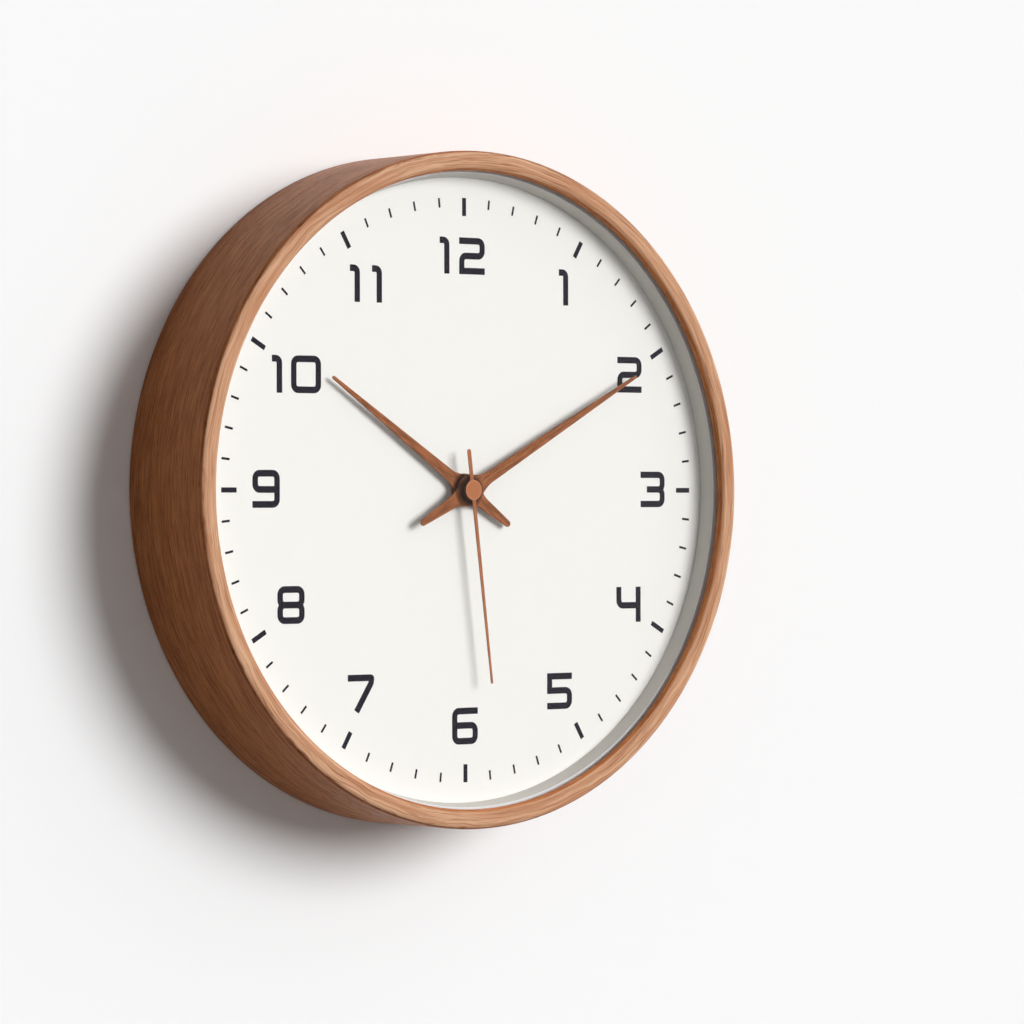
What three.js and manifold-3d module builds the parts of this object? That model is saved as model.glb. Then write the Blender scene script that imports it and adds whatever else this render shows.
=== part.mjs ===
// Wooden wall clock, 300 mm across, with a quartz movement behind its dial.
//
// Millimetres, +Z up, +X to the right of someone who reads the dial. The dial faces -Y and the
// wall is at +Y. The origin is the centre of the case, on the axis that the hands turn about.
// The case is a bent drum: lens, spacer, dial and board are dropped in from behind, and a hoop
// holds them against the lip. The movement hangs behind the board and is open to the rear.

import * as THREE from 'three';
import { mergeVertices } from 'three/addons/utils/BufferGeometryUtils.js';
import Module from 'manifold-3d';

const wasm = await Module();
wasm.setup();

// Clearances
const seatGap = 0.2; // between two pieces that rest on each other
const fitGap = 0.3; // around a piece that drops into a recess or a hole
const runGap = 0.12; // around a turning shaft
const layerGap = 0.4; // between turning wheels and what they pass
const pivotPlay = 0.2; // behind the end of a pivot in its blind hole

// Case
const caseRadius = 150;
const caseDepth = 55;
const lipWidth = 8.8; // front face, from the outside to the opening
const lipDepth = 3.2; // front face to the seat of the lens
const wallThickness = 4.8; // drum wall behind the lip
const frontEdgeRadius = 2.4;
const lipEdgeRadius = 2.8;
const rearEdgeRadius = 0.8;

// Lens, spacer, dial and what holds them
const lensThickness = 1.6;
const lensClearance = 0.35; // between the lens and the second hand's cap
const spacerLedge = 1.4; // how far the spacer's front shows inside the lip
const spacerDraft = 1.0; // how much the spacer narrows towards the dial
const cardThickness = 1.0;
const boardThickness = 4.0;
const hoopThickness = 4.5;
const hoopDepth = 12;
const hoopSplit = 1.6; // open joint of the bent hoop, at the bottom
const hoopScrews = 4;

// Screws, all of one kind
const screwShankRadius = 1.4;
const screwLength = 8;
const screwHeadRadius = 3.0;
const screwHeadHeight = 1.5;

// Hanger
const blockWidth = 60;
const blockHeight = 30; // at the sides, below the drum wall's arc at the middle
const hangerWidth = 46;
const hangerHeight = 22;
const hangerThickness = 1.2;
const hangerCornerRadius = 3;
const hangerScrewSpacing = 35;
const keyholeRadius = 4.5;
const keyholeSlotRadius = 2.2;
const keyholeTravel = 8.5; // entry hole to the end of the slot
const hangerSink = 0.5; // the plate's screw heads, in from the rear rim
const pocketDepth = 9; // room for the wall screw's head
const pocketMargin = 1.0; // around the keyhole's entry

// Hands, measured from the axis
const hubRadius = 7;
const hubFilletStart = 55; // degrees from the arm, where the hub's arc ends
const hubFilletReach = 13; // where the arm's straight side starts
const hourHandLength = 88.8;
const hourHandTail = 28.5;
const hourHandRootWidth = 5.1;
const hourHandTipWidth = 1.5;
const hourHandTailWidth = 3.0;
const minuteHandLength = 109.5;
const minuteHandTail = 31.5;
const minuteHandRootWidth = 5.4;
const minuteHandTipWidth = 1.5;
const minuteHandTailWidth = 3.0;
const handThickness = 0.7;
const secondHandLength = 86.7;
const secondHandTail = 18.3;
const secondHandRootWidth = 1.9;
const secondHandTipWidth = 0.9;
const secondHandTailWidth = 2.0;
const bladeThickness = 0.4;
const capRadius = 4.45;
const capFaceThickness = 0.4;
const capFlangeThickness = 0.65;
const capNeckRadius = 1.5;
const eyeMargin = 0.15; // the blade's eye inside the cap's rim
const eyeFilletStart = 22; // degrees from the blade, where the eye's arc ends

// Where the hands stand, in degrees clockwise from twelve
const hourHandAngle = 303.6;
const minuteHandAngle = 61.6;
const secondHandAngle = 173.0;

// Spaces between the hands, and the nut that clamps the movement
const capToMinuteHand = 0.4;
const minuteToHourHand = 1.4;
const hourHandToNut = 0.4;
const nutThickness = 1.2;
const nutAcrossFlats = 11;
const washerRadius = 7.5;
const washerThickness = 0.5;
const bladeGap = 0.15;

// Concentric shafts, from the inside out
const arborRadius = 0.5;
const minuteTubeWall = 0.83;
const hourTubeWall = 0.75;
const bushingWall = 1.2;
const bushingFlangeWidth = 1.9;
const bushingFlangeThickness = 0.6;
const tubeStandProud = 0.2; // how far each tube stops short of its hand's front

// Movement
const gasketRadius = 9;
const gasketThickness = 0.8;
const baseWall = 1.2;
const baseCornerRadius = 2;
const wheelThickness = 1.0;
const trainPlateThickness = 0.8;
const coverThickness = 1.2;
const pivotRadius = 0.45;
const pivotDepth = 0.7; // how far a pivot enters its hole
const postRadius = 2.0;
const postNeckRadius = 1.3;
const postInset = 2.4; // posts from the corner of the chamber

// Wheels: distance and direction between the axes of each pair, and the teeth
const motionDistance = 9.6;
const motionDirection = 0;
const knobDirection = 30;
const trainDistance = 10.8;
const thirdDirection = 165;
const fifthDistance = 7.68;
const fifthDirection = 70;
const rotorDistance = 6.72;
const rotorDirection = 100;
const cannonTeeth = 10;
const motionWheelTeeth = 30;
const motionPinionTeeth = 8;
const hourWheelTeeth = 32;
const knobTeeth = 10;
const centreWheelTeeth = 48;
const thirdPinionTeeth = 6;
const thirdWheelTeeth = 45;
const secondsPinionTeeth = 6;
const secondsWheelTeeth = 30;
const fifthPinionTeeth = 6;
const fifthWheelTeeth = 36;
const rotorPinionTeeth = 6;
const toothTip = 0.7; // tip above the pitch circle, in modules
const toothRoot = 1.1; // root below the pitch circle, in modules
const toothTipShare = 0.1; // half of the tooth at its tip, as a share of the pitch
const toothRootShare = 0.24;

// Motor
const magnetRadius = 2.5;
const magnetLength = 3;
const statorThickness = 1.0;
const statorGap = 0.5; // magnet to stator
const statorMargin = 5; // stator below the rotor's axis
const statorArmWidth = 4;
const coilAboveRotor = 7.7;
const coilLength = 20;
const coilRadius = 3.2;
const bobbinRadius = 2.2;
const bobbinFlangeRadius = 3.5;
const bobbinFlangeThickness = 0.8;
const coreWidth = 3.0;
const coreThickness = 1.0;
const statorPinRadius = 0.8;
const statorPinBelowCoil = 4.5;

// Electronics
const boardWidth = 13.4;
const boardHeight = 17;
const circuitThickness = 0.8;
const boardPegRadius = 1.2;
const chipRadius = 2.4;
const chipHeight = 0.9;
const crystalRadius = 1.0;
const crystalLength = 6;

// Battery and its contacts
const batteryRadius = 7.1;
const batteryLength = 49.2;
const batteryEdgeRadius = 0.8;
const nubRadius = 2.75;
const nubLength = 1.2;
const contactThickness = 0.35;
const contactBulge = 0.6; // how far the middle of a contact stands in from its ends

// Setting knob
const knobRadius = 5.5;
const knobThickness = 3;
const knobFlutes = 12;
const knobStemRadius = 1.3;
const knobClearance = 0.5;

// How finely round forms are cut
const caseSegments = 64;
const partSegments = 20;
const smallSegments = 10;
const cornerSegments = 2; // half of the steps round a plate's corner
const handSegments = 4; // steps of a hand's fillet, and half of those round its tip
const arcSteps = 2; // per quarter turn of an edge rounding

const tau = Math.PI * 2;
const quarter = Math.PI / 2;
const radians = THREE.MathUtils.degToRad;

// Layers from front to back. Each one starts a gap behind the one before.
function behind(previous, gap, thickness) {
  const front = previous.back + gap;
  return { front, back: front + thickness };
}

const frontY = -caseDepth / 2;
const rearY = caseDepth / 2;
const lens = behind({ back: frontY + lipDepth }, seatGap, lensThickness);
const capFace = behind(lens, lensClearance, capFaceThickness);
const blade = behind(capFace, bladeGap, bladeThickness);
const capFlange = behind(blade, bladeGap, capFlangeThickness);
const minutePlate = behind(capFlange, capToMinuteHand, handThickness);
const hourPlate = behind(minutePlate, minuteToHourHand, handThickness);
const nut = behind(hourPlate, hourHandToNut, nutThickness);
const washer = behind(nut, seatGap, washerThickness);
const card = behind(washer, seatGap, cardThickness);
const board = behind(card, seatGap, boardThickness);
const hoop = behind(board, seatGap, hoopDepth);
const gasket = behind(board, seatGap, gasketThickness);
const floor = behind(gasket, seatGap, baseWall);
const hourLayer = behind(floor, layerGap, wheelThickness);
const cannonLayer = behind(hourLayer, layerGap, wheelThickness);
const centreLayer = behind(cannonLayer, layerGap, wheelThickness);
const trainPlate = behind(centreLayer, layerGap, trainPlateThickness);
const thirdLayer = behind(trainPlate, layerGap, wheelThickness);
const secondsLayer = behind(thirdLayer, layerGap, wheelThickness);
const fifthLayer = behind(secondsLayer, layerGap, wheelThickness);
const magnet = behind(fifthLayer, layerGap, magnetLength);

const statorMiddle = (magnet.front + magnet.back) / 2;
const stator = { front: statorMiddle - statorThickness / 2, back: statorMiddle + statorThickness / 2 };
const core = { front: stator.front - seatGap - coreThickness, back: stator.front - seatGap };
const coreMiddle = (core.front + core.back) / 2;

// The movement is as deep as its train, its coil and its battery need
const movementRear = Math.max(
  magnet.back + layerGap + coverThickness,
  coreMiddle + bobbinFlangeRadius + layerGap + coverThickness,
  floor.back + fitGap + 2 * batteryRadius + fitGap,
);
const cover = { front: movementRear - coverThickness, back: movementRear };
const circuit = behind(thirdLayer, layerGap + wheelThickness, circuitThickness);
const contactBand = { front: trainPlate.back + fitGap, back: circuit.back };
const knobHead = behind(cover, knobClearance, knobThickness);

// Radii of the concentric shafts
const minuteTubeBore = arborRadius + runGap;
const minuteTubeRadius = minuteTubeBore + minuteTubeWall;
const hourTubeBore = minuteTubeRadius + runGap;
const hourTubeRadius = hourTubeBore + hourTubeWall;
const bushingBore = hourTubeRadius + runGap;
const bushingRadius = bushingBore + bushingWall;
const bushingFlangeRadius = bushingRadius + bushingFlangeWidth;
const bushingHole = bushingRadius + fitGap;

// Radii of the case
const openingRadius = caseRadius - lipWidth;
const recessRadius = caseRadius - wallThickness;
const stackRadius = recessRadius - fitGap;
const hoopInnerRadius = stackRadius - hoopThickness;

// Axes of the wheels
function axisFrom(start, distance, direction) {
  const angle = radians(direction);
  return {
    x: start.x + distance * Math.cos(angle),
    z: start.z + distance * Math.sin(angle),
    angle,
    distance,
  };
}

const centreAxis = { x: 0, z: 0 };
const motionAxis = axisFrom(centreAxis, motionDistance, motionDirection);
const knobDistance = (motionDistance * (motionWheelTeeth + knobTeeth)) / (motionWheelTeeth + cannonTeeth);
const knobAxis = axisFrom(motionAxis, knobDistance, knobDirection);
const thirdAxis = axisFrom(centreAxis, trainDistance, thirdDirection);
const fifthAxis = axisFrom(centreAxis, fifthDistance, fifthDirection);
const rotorAxis = axisFrom(fifthAxis, rotorDistance, rotorDirection);

// The phase that puts a gap of the second wheel on the line of centres where the first has a tooth
function meshedPhase(direction, teeth, phase, otherTeeth) {
  const pitch = tau / teeth;
  const otherPitch = tau / otherTeeth;
  const share = (direction - phase) / pitch;
  return direction + Math.PI - otherPitch * (0.5 - share);
}

const moduleOf = (distance, teeth, otherTeeth) => (2 * distance) / (teeth + otherTeeth);
const tipRadius = (teeth, module) => module * (teeth / 2 + toothTip);

const cannonModule = moduleOf(motionDistance, cannonTeeth, motionWheelTeeth);
const hourModule = moduleOf(motionDistance, motionPinionTeeth, hourWheelTeeth);
const centreModule = moduleOf(trainDistance, thirdPinionTeeth, centreWheelTeeth);
const thirdModule = moduleOf(trainDistance, secondsPinionTeeth, thirdWheelTeeth);
const secondsModule = moduleOf(fifthDistance, fifthPinionTeeth, secondsWheelTeeth);
const fifthModule = moduleOf(rotorDistance, rotorPinionTeeth, fifthWheelTeeth);

const cannonPhase = motionAxis.angle;
const motionWheelPhase = meshedPhase(motionAxis.angle, cannonTeeth, cannonPhase, motionWheelTeeth);
const knobPhase = meshedPhase(knobAxis.angle, motionWheelTeeth, motionWheelPhase, knobTeeth);
const hourWheelPhase = motionAxis.angle;
const motionPinionPhase = meshedPhase(motionAxis.angle, hourWheelTeeth, hourWheelPhase, motionPinionTeeth);
const centreWheelPhase = thirdAxis.angle;
const thirdPinionPhase = meshedPhase(thirdAxis.angle, centreWheelTeeth, centreWheelPhase, thirdPinionTeeth);
const secondsPinionPhase = thirdAxis.angle;
const thirdWheelPhase = meshedPhase(thirdAxis.angle, secondsPinionTeeth, secondsPinionPhase, thirdWheelTeeth);
const secondsWheelPhase = fifthAxis.angle;
const fifthPinionPhase = meshedPhase(fifthAxis.angle, secondsWheelTeeth, secondsWheelPhase, fifthPinionTeeth);
const fifthWheelPhase = rotorAxis.angle;
const rotorPinionPhase = meshedPhase(rotorAxis.angle, fifthWheelTeeth, fifthWheelPhase, rotorPinionTeeth);

// The chamber that holds the train, sized by what turns in it, and the battery bay below
const motionWheelReach = tipRadius(motionWheelTeeth, cannonModule);
const centreWheelReach = tipRadius(centreWheelTeeth, centreModule);
const hourWheelReach = tipRadius(hourWheelTeeth, hourModule);
const thirdWheelReach = tipRadius(thirdWheelTeeth, thirdModule);
const coilZ = rotorAxis.z + coilAboveRotor;
const statorHalfWidth = coilLength / 2 + bobbinFlangeThickness + fitGap + statorArmWidth;
const batteryHalf = (batteryLength + nubLength) / 2;
const chamberHalfWidth = Math.max(
  batteryHalf + seatGap + contactThickness + contactBulge + seatGap,
  thirdWheelReach - thirdAxis.x + layerGap,
  knobAxis.x + knobRadius,
);
const chamberBottom = -Math.max(centreWheelReach, hourWheelReach, motionWheelReach - motionAxis.z)
  - layerGap - contactThickness - seatGap;
const chamberTop = coilZ + bobbinFlangeRadius + layerGap;
const bayTop = chamberBottom - baseWall;
const batteryZ = bayTop - fitGap - batteryRadius;
const bayBottom = batteryZ - batteryRadius - fitGap;
const batteryY = floor.back + fitGap + batteryRadius;

// Solids and geometries
function toSolid(geometry) {
  const bare = geometry.clone();
  bare.deleteAttribute('normal');
  bare.deleteAttribute('uv');
  const merged = mergeVertices(bare);
  const corners = merged.index.array;
  const kept = [];
  for (let i = 0; i < corners.length; i += 3) {
    const [a, b, c] = [corners[i], corners[i + 1], corners[i + 2]];
    if (a !== b && b !== c && c !== a) kept.push(a, b, c);
  }
  return new wasm.Manifold(new wasm.Mesh({
    numProp: 3,
    vertProperties: new Float32Array(merged.attributes.position.array),
    triVerts: new Uint32Array(kept),
  }));
}

function toGeometry(solid) {
  const mesh = solid.getMesh();
  const geometry = new THREE.BufferGeometry();
  geometry.setAttribute('position', new THREE.BufferAttribute(mesh.vertProperties, 3));
  geometry.setIndex(new THREE.BufferAttribute(mesh.triVerts, 1));
  geometry.computeVertexNormals();
  return geometry;
}

function join(...geometries) {
  const [first, ...others] = geometries.map(toSolid);
  return toGeometry(others.reduce((whole, other) => whole.add(other), first));
}

function cut(geometry, ...tools) {
  return toGeometry(tools.map(toSolid).reduce((whole, tool) => whole.subtract(tool), toSolid(geometry)));
}

// A solid turned about the Y axis. The profile's [radius, y] points run anticlockwise with the
// radius to the right and y up, and either start and end on the axis or close on themselves.
function turned(profile, segments = partSegments) {
  return new THREE.LatheGeometry(profile.map(([radius, y]) => new THREE.Vector2(radius, y)), segments);
}

function disc(radius, { front, back }, segments = partSegments) {
  return turned([[0, front], [radius, front], [radius, back], [0, back]], segments);
}

function tube(bore, radius, { front, back }, segments = partSegments) {
  return turned([[bore, front], [radius, front], [radius, back], [bore, back], [bore, front]], segments);
}

// Points of a quarter turn about (radius, y), from one angle to another in the profile's plane
function rounding(radius, y, size, from, to) {
  const points = [];
  for (let i = 0; i <= arcSteps; i += 1) {
    const angle = from + ((to - from) * i) / arcSteps;
    points.push([radius + size * Math.cos(angle), y + size * Math.sin(angle)]);
  }
  return points;
}

// A flat piece: a shape drawn in x and z, given its thickness along Y
function plate(shape, { front, back }, curveSegments = cornerSegments) {
  const depth = back - front;
  const geometry = new THREE.ExtrudeGeometry(shape, { depth, bevelEnabled: false, curveSegments });
  geometry.rotateX(quarter);
  geometry.translate(0, back, 0);
  return geometry;
}

function at(geometry, axis) {
  return geometry.translate(axis.x, 0, axis.z);
}

function rectangle(left, right, bottom, top, corner = 0) {
  const shape = new THREE.Shape();
  if (corner === 0) {
    shape.moveTo(left, bottom);
    shape.lineTo(right, bottom);
    shape.lineTo(right, top);
    shape.lineTo(left, top);
    return shape;
  }
  shape.absarc(right - corner, bottom + corner, corner, -quarter, 0);
  shape.absarc(right - corner, top - corner, corner, 0, quarter);
  shape.absarc(left + corner, top - corner, corner, quarter, 2 * quarter);
  shape.absarc(left + corner, bottom + corner, corner, 2 * quarter, 3 * quarter);
  return shape;
}

function circleHole(x, z, radius, segments = smallSegments) {
  const circle = new THREE.EllipseCurve(x, z, radius, radius, 0, tau, true);
  return new THREE.Path(circle.getPoints(segments).slice(0, -1));
}

function withHoles(shape, ...holes) {
  shape.holes.push(...holes);
  return shape;
}

function gear(teeth, module, phase, layer, bore = 0) {
  const pitchRadius = (teeth * module) / 2;
  const root = pitchRadius - toothRoot * module;
  const tip = pitchRadius + toothTip * module;
  const pitch = tau / teeth;
  const corners = [];
  for (let i = 0; i < teeth; i += 1) {
    const middle = phase + i * pitch;
    const steps = [
      [root, -toothRootShare],
      [tip, -toothTipShare],
      [tip, toothTipShare],
      [root, toothRootShare],
    ];
    for (const [radius, share] of steps) {
      const angle = middle + share * pitch;
      corners.push(new THREE.Vector2(radius * Math.cos(angle), radius * Math.sin(angle)));
    }
  }
  const shape = new THREE.Shape(corners);
  if (bore > 0) shape.holes.push(circleHole(0, 0, bore, partSegments));
  return plate(shape, layer);
}

// A ribbon of the given thickness that follows points in x and z, drawn to their left
function ribbon(points, thickness) {
  const path = points.map(([x, z]) => new THREE.Vector2(x, z));
  const sideAt = path.map((point, i) => {
    const before = path[Math.max(i - 1, 0)];
    const after = path[Math.min(i + 1, path.length - 1)];
    const incoming = point.clone().sub(before).normalize();
    const outgoing = after.clone().sub(point).normalize();
    const first = i > 0 ? incoming : outgoing;
    const second = i < path.length - 1 ? outgoing : incoming;
    const bisector = first.clone().add(second).normalize();
    const normal = new THREE.Vector2(-bisector.y, bisector.x);
    const stretch = 1 / Math.max(normal.dot(new THREE.Vector2(-second.y, second.x)), 0.5);
    return point.clone().addScaledVector(normal, thickness * stretch);
  });
  return new THREE.Shape([...path, ...sideAt.reverse()]);
}

// Materials, from the photograph where it shows them
const finishes = {
  veneer: { color: 0x9a6242, roughness: 0.55, metalness: 0 },
  rawWood: { color: 0xc49a6c, roughness: 0.8, metalness: 0 },
  fibreboard: { color: 0x8a6a4c, roughness: 0.9, metalness: 0 },
  glass: { color: 0xf4f8f8, roughness: 0.03, metalness: 0, transparent: true, opacity: 0.25 },
  spacer: { color: 0xd9d8d4, roughness: 0.6, metalness: 0 },
  dial: { color: 0xf4f3ee, roughness: 0.7, metalness: 0 },
  hand: { color: 0x96553a, roughness: 0.5, metalness: 0.1 },
  secondHand: { color: 0xbe6e46, roughness: 0.4, metalness: 0.3 },
  brass: { color: 0xb8964c, roughness: 0.35, metalness: 1 },
  steel: { color: 0xb4b6b8, roughness: 0.35, metalness: 1 },
  rubber: { color: 0x202020, roughness: 0.9, metalness: 0 },
  blackPlastic: { color: 0x1c1c1e, roughness: 0.5, metalness: 0 },
  whitePlastic: { color: 0xe8e6e0, roughness: 0.5, metalness: 0 },
  magnet: { color: 0x3c3c40, roughness: 0.5, metalness: 0.6 },
  copper: { color: 0xb8693a, roughness: 0.35, metalness: 0.9 },
  circuit: { color: 0x2e6b3c, roughness: 0.5, metalness: 0 },
  battery: { color: 0x3a3d42, roughness: 0.35, metalness: 0.5 },
};
const materials = Object.fromEntries(
  Object.entries(finishes).map(([name, finish]) => [name, new THREE.MeshStandardMaterial(finish)]),
);

const clock = new THREE.Group();

function piece(name, geometry, material, parent = clock) {
  const mesh = new THREE.Mesh(geometry, material);
  mesh.name = name;
  parent.add(mesh);
  return mesh;
}

// A group turned clockwise on the dial by an angle in degrees
function turnedGroup(degrees) {
  const group = new THREE.Group();
  group.rotation.y = radians(degrees);
  clock.add(group);
  return group;
}

// Screws. Local +Y runs into the wood, and y = 0 is under the head.
function screwGeometry() {
  return turned([
    [0, -screwHeadHeight],
    [screwHeadRadius * 0.6, -screwHeadHeight],
    [screwHeadRadius, -screwHeadHeight * 0.5],
    [screwHeadRadius, 0],
    [screwShankRadius, 0],
    [screwShankRadius, screwLength - screwShankRadius],
    [0, screwLength],
  ], smallSegments);
}

const screwHoleRadius = screwShankRadius + fitGap;
const screwHole = () => disc(screwHoleRadius, { front: -fitGap, back: screwLength + fitGap }, smallSegments);

// Case
const hoopScrewY = (hoop.front + hoop.back) / 2;
const hoopScrewHeadRadius = hoopInnerRadius - fitGap;

// Turns a geometry made along +Y so that it runs outward from the axis at an angle
function outward(geometry, angle) {
  const direction = new THREE.Vector3(Math.cos(angle), 0, Math.sin(angle));
  const turn = new THREE.Quaternion().setFromUnitVectors(new THREE.Vector3(0, 1, 0), direction);
  geometry.applyQuaternion(turn);
  return geometry.translate(hoopScrewHeadRadius * direction.x, hoopScrewY, hoopScrewHeadRadius * direction.z);
}

const hoopScrewAngles = Array.from({ length: hoopScrews }, (_, i) => (tau * (i + 0.5)) / hoopScrews);
const hoopScrewHoles = () => hoopScrewAngles.map((angle) => outward(screwHole(), angle));

function caseRing() {
  const lipCentre = openingRadius + lipEdgeRadius;
  const lipFillet = rounding(lipCentre, frontY + lipEdgeRadius, lipEdgeRadius, 2 * quarter, 3 * quarter);
  const frontCentre = caseRadius - frontEdgeRadius;
  const frontFillet = rounding(frontCentre, frontY + frontEdgeRadius, frontEdgeRadius, -quarter, 0);
  const drum = turned([
    ...lipFillet,
    ...frontFillet,
    [caseRadius, rearY - rearEdgeRadius],
    [caseRadius - rearEdgeRadius, rearY],
    [recessRadius, rearY],
    [recessRadius, frontY + lipDepth],
    [openingRadius, frontY + lipDepth],
    lipFillet[0],
  ], caseSegments);
  return cut(drum, ...hoopScrewHoles());
}

piece('case_ring', caseRing(), materials.veneer);
piece('lens_glass', disc(stackRadius, lens, caseSegments), materials.glass);

const spacerInner = openingRadius - spacerLedge;
const spacer = { front: lens.back + seatGap, back: card.front - seatGap };
piece('spacer_ring', turned([
  [spacerInner, spacer.front],
  [stackRadius, spacer.front],
  [stackRadius, spacer.back],
  [spacerInner - spacerDraft, spacer.back],
  [spacerInner, spacer.front],
], caseSegments), materials.spacer);

piece('dial_card', tube(bushingHole, stackRadius, card, caseSegments), materials.dial);
piece('dial_board', tube(bushingHole, stackRadius, board, caseSegments), materials.fibreboard);

function retainingHoop() {
  const split = plate(
    rectangle(-hoopSplit / 2, hoopSplit / 2, -stackRadius - hoopThickness, -hoopInnerRadius + hoopThickness),
    { front: hoop.front - fitGap, back: hoop.back + fitGap },
  );
  return cut(tube(hoopInnerRadius, stackRadius, hoop, caseSegments), split, ...hoopScrewHoles());
}

piece('retaining_hoop', retainingHoop(), materials.rawWood);
hoopScrewAngles.forEach((angle, i) => {
  piece(`hoop_screw_${i + 1}`, outward(screwGeometry(), angle), materials.steel);
});

// Hanger: a keyhole plate on a wooden block, sunk below the rear rim so that the case lies flat
const hangerPlateBack = rearY - hangerSink - screwHeadHeight - seatGap;
const hangerPlate = { front: hangerPlateBack - hangerThickness, back: hangerPlateBack };
const block = { front: hoop.back + seatGap, back: hangerPlate.front - seatGap };
const blockBottom = Math.sqrt(stackRadius ** 2 - (blockWidth / 2) ** 2) - blockHeight + fitGap;
const hangerTop = Math.sqrt(stackRadius ** 2 - (hangerWidth / 2) ** 2) - fitGap;
const hangerMiddle = hangerTop - hangerHeight / 2;
const keyholeEntry = hangerMiddle - keyholeTravel / 2;
const keyholeEnd = hangerMiddle + keyholeTravel / 2;
const keyholeSegments = smallSegments / 2;

function keyhole() {
  const spread = Math.acos(keyholeSlotRadius / keyholeRadius);
  const path = new THREE.Path();
  path.absarc(0, keyholeEntry, keyholeRadius, spread, Math.PI - spread, true);
  path.absarc(0, keyholeEnd, keyholeSlotRadius, Math.PI, 0, true);
  return path;
}

// The wall screw's head comes in at the entry and stands behind the end of the slot
function screwHeadPocket() {
  const radius = keyholeRadius + pocketMargin;
  const shape = new THREE.Shape();
  shape.absarc(0, keyholeEntry, radius, Math.PI, tau);
  shape.absarc(0, keyholeEnd, radius, 0, Math.PI);
  return plate(shape, { front: block.back - pocketDepth, back: block.back + fitGap }, keyholeSegments);
}

function hangerBlock() {
  const half = blockWidth / 2;
  const shoulder = Math.sqrt(stackRadius ** 2 - half ** 2);
  const outline = new THREE.Shape();
  outline.moveTo(-half, blockBottom);
  outline.lineTo(half, blockBottom);
  outline.absarc(0, 0, stackRadius, Math.atan2(shoulder, half), Math.atan2(shoulder, -half));
  return cut(plate(outline, block, keyholeSegments), screwHeadPocket(), ...hangerScrewHoles());
}

const hangerScrewX = [-hangerScrewSpacing / 2, hangerScrewSpacing / 2];

// The hanger's screws run forward into the block, so they are turned half round
function hangerScrew(geometry, x) {
  geometry.rotateX(Math.PI);
  return geometry.translate(x, hangerPlate.back + seatGap, hangerMiddle);
}

function hangerScrewHoles() {
  return hangerScrewX.map((x) => hangerScrew(screwHole(), x));
}

piece('hanger_block', hangerBlock(), materials.rawWood);
const hangerBottom = hangerTop - hangerHeight;
piece('hanger_plate', plate(withHoles(
  rectangle(-hangerWidth / 2, hangerWidth / 2, hangerBottom, hangerTop, hangerCornerRadius),
  keyhole(),
  ...hangerScrewX.map((x) => circleHole(x, hangerMiddle, screwHoleRadius)),
), hangerPlate, keyholeSegments), materials.steel);
hangerScrewX.forEach((x, i) => {
  piece(`hanger_screw_${i + 1}`, hangerScrew(screwGeometry(), x), materials.steel);
});

// Hands, drawn pointing up and then turned to where they stand. Their hubs are rounded into the
// arms, whose straight sides start at filletReach.
function handOutline({
  length, tail, rootWidth, tipWidth, tailWidth, hub, filletStart, filletReach,
}) {
  const start = radians(filletStart);
  const onHub = { x: hub * Math.sin(start), z: hub * Math.cos(start) };
  const side = rootWidth / 2;
  // where the hub's tangent meets the arm's side
  const bendZ = onHub.z + ((onHub.x - side) * Math.sin(start)) / Math.cos(start);
  const tipHalf = tipWidth / 2;
  const tailHalf = tailWidth / 2;
  const shape = new THREE.Shape();
  shape.moveTo(tipHalf, length - tipHalf);
  shape.absarc(0, length - tipHalf, tipHalf, 0, Math.PI);
  shape.lineTo(-side, filletReach);
  shape.quadraticCurveTo(-side, bendZ, -onHub.x, onHub.z);
  shape.absarc(0, 0, hub, quarter + start, 3 * quarter - start);
  shape.quadraticCurveTo(-side, -bendZ, -side, -filletReach);
  shape.lineTo(-tailHalf, -tail + tailHalf);
  shape.absarc(0, -tail + tailHalf, tailHalf, Math.PI, tau);
  shape.lineTo(side, -filletReach);
  shape.quadraticCurveTo(side, -bendZ, onHub.x, -onHub.z);
  shape.absarc(0, 0, hub, start - quarter, quarter - start);
  shape.quadraticCurveTo(side, bendZ, side, filletReach);
  return shape;
}

const hourGroup = turnedGroup(hourHandAngle);
const minuteGroup = turnedGroup(minuteHandAngle);
const secondGroup = turnedGroup(secondHandAngle);

const hourOutline = handOutline({
  length: hourHandLength,
  tail: hourHandTail,
  rootWidth: hourHandRootWidth,
  tipWidth: hourHandTipWidth,
  tailWidth: hourHandTailWidth,
  hub: hubRadius,
  filletStart: hubFilletStart,
  filletReach: hubFilletReach,
});
const hourBore = circleHole(0, 0, hourTubeRadius + seatGap, partSegments);
const hourBlank = withHoles(hourOutline, hourBore);
piece('hour_hand', plate(hourBlank, hourPlate, handSegments), materials.hand, hourGroup);

const minuteOutline = handOutline({
  length: minuteHandLength,
  tail: minuteHandTail,
  rootWidth: minuteHandRootWidth,
  tipWidth: minuteHandTipWidth,
  tailWidth: minuteHandTailWidth,
  hub: hubRadius,
  filletStart: hubFilletStart,
  filletReach: hubFilletReach,
});
const minuteBore = circleHole(0, 0, minuteTubeRadius + seatGap, partSegments);
const minuteBlank = withHoles(minuteOutline, minuteBore);
piece('minute_hand', plate(minuteBlank, minutePlate, handSegments), materials.hand, minuteGroup);

const eyeRadius = capRadius - eyeMargin;
const secondOutline = handOutline({
  length: secondHandLength,
  tail: secondHandTail,
  rootWidth: secondHandRootWidth,
  tipWidth: secondHandTipWidth,
  tailWidth: secondHandTailWidth,
  hub: eyeRadius,
  filletStart: eyeFilletStart,
  filletReach: eyeRadius + secondHandRootWidth,
});
const eyeBore = circleHole(0, 0, capNeckRadius + seatGap, partSegments);
const secondBlank = withHoles(secondOutline, eyeBore);
piece('second_hand', plate(secondBlank, blade, handSegments), materials.secondHand, secondGroup);

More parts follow.
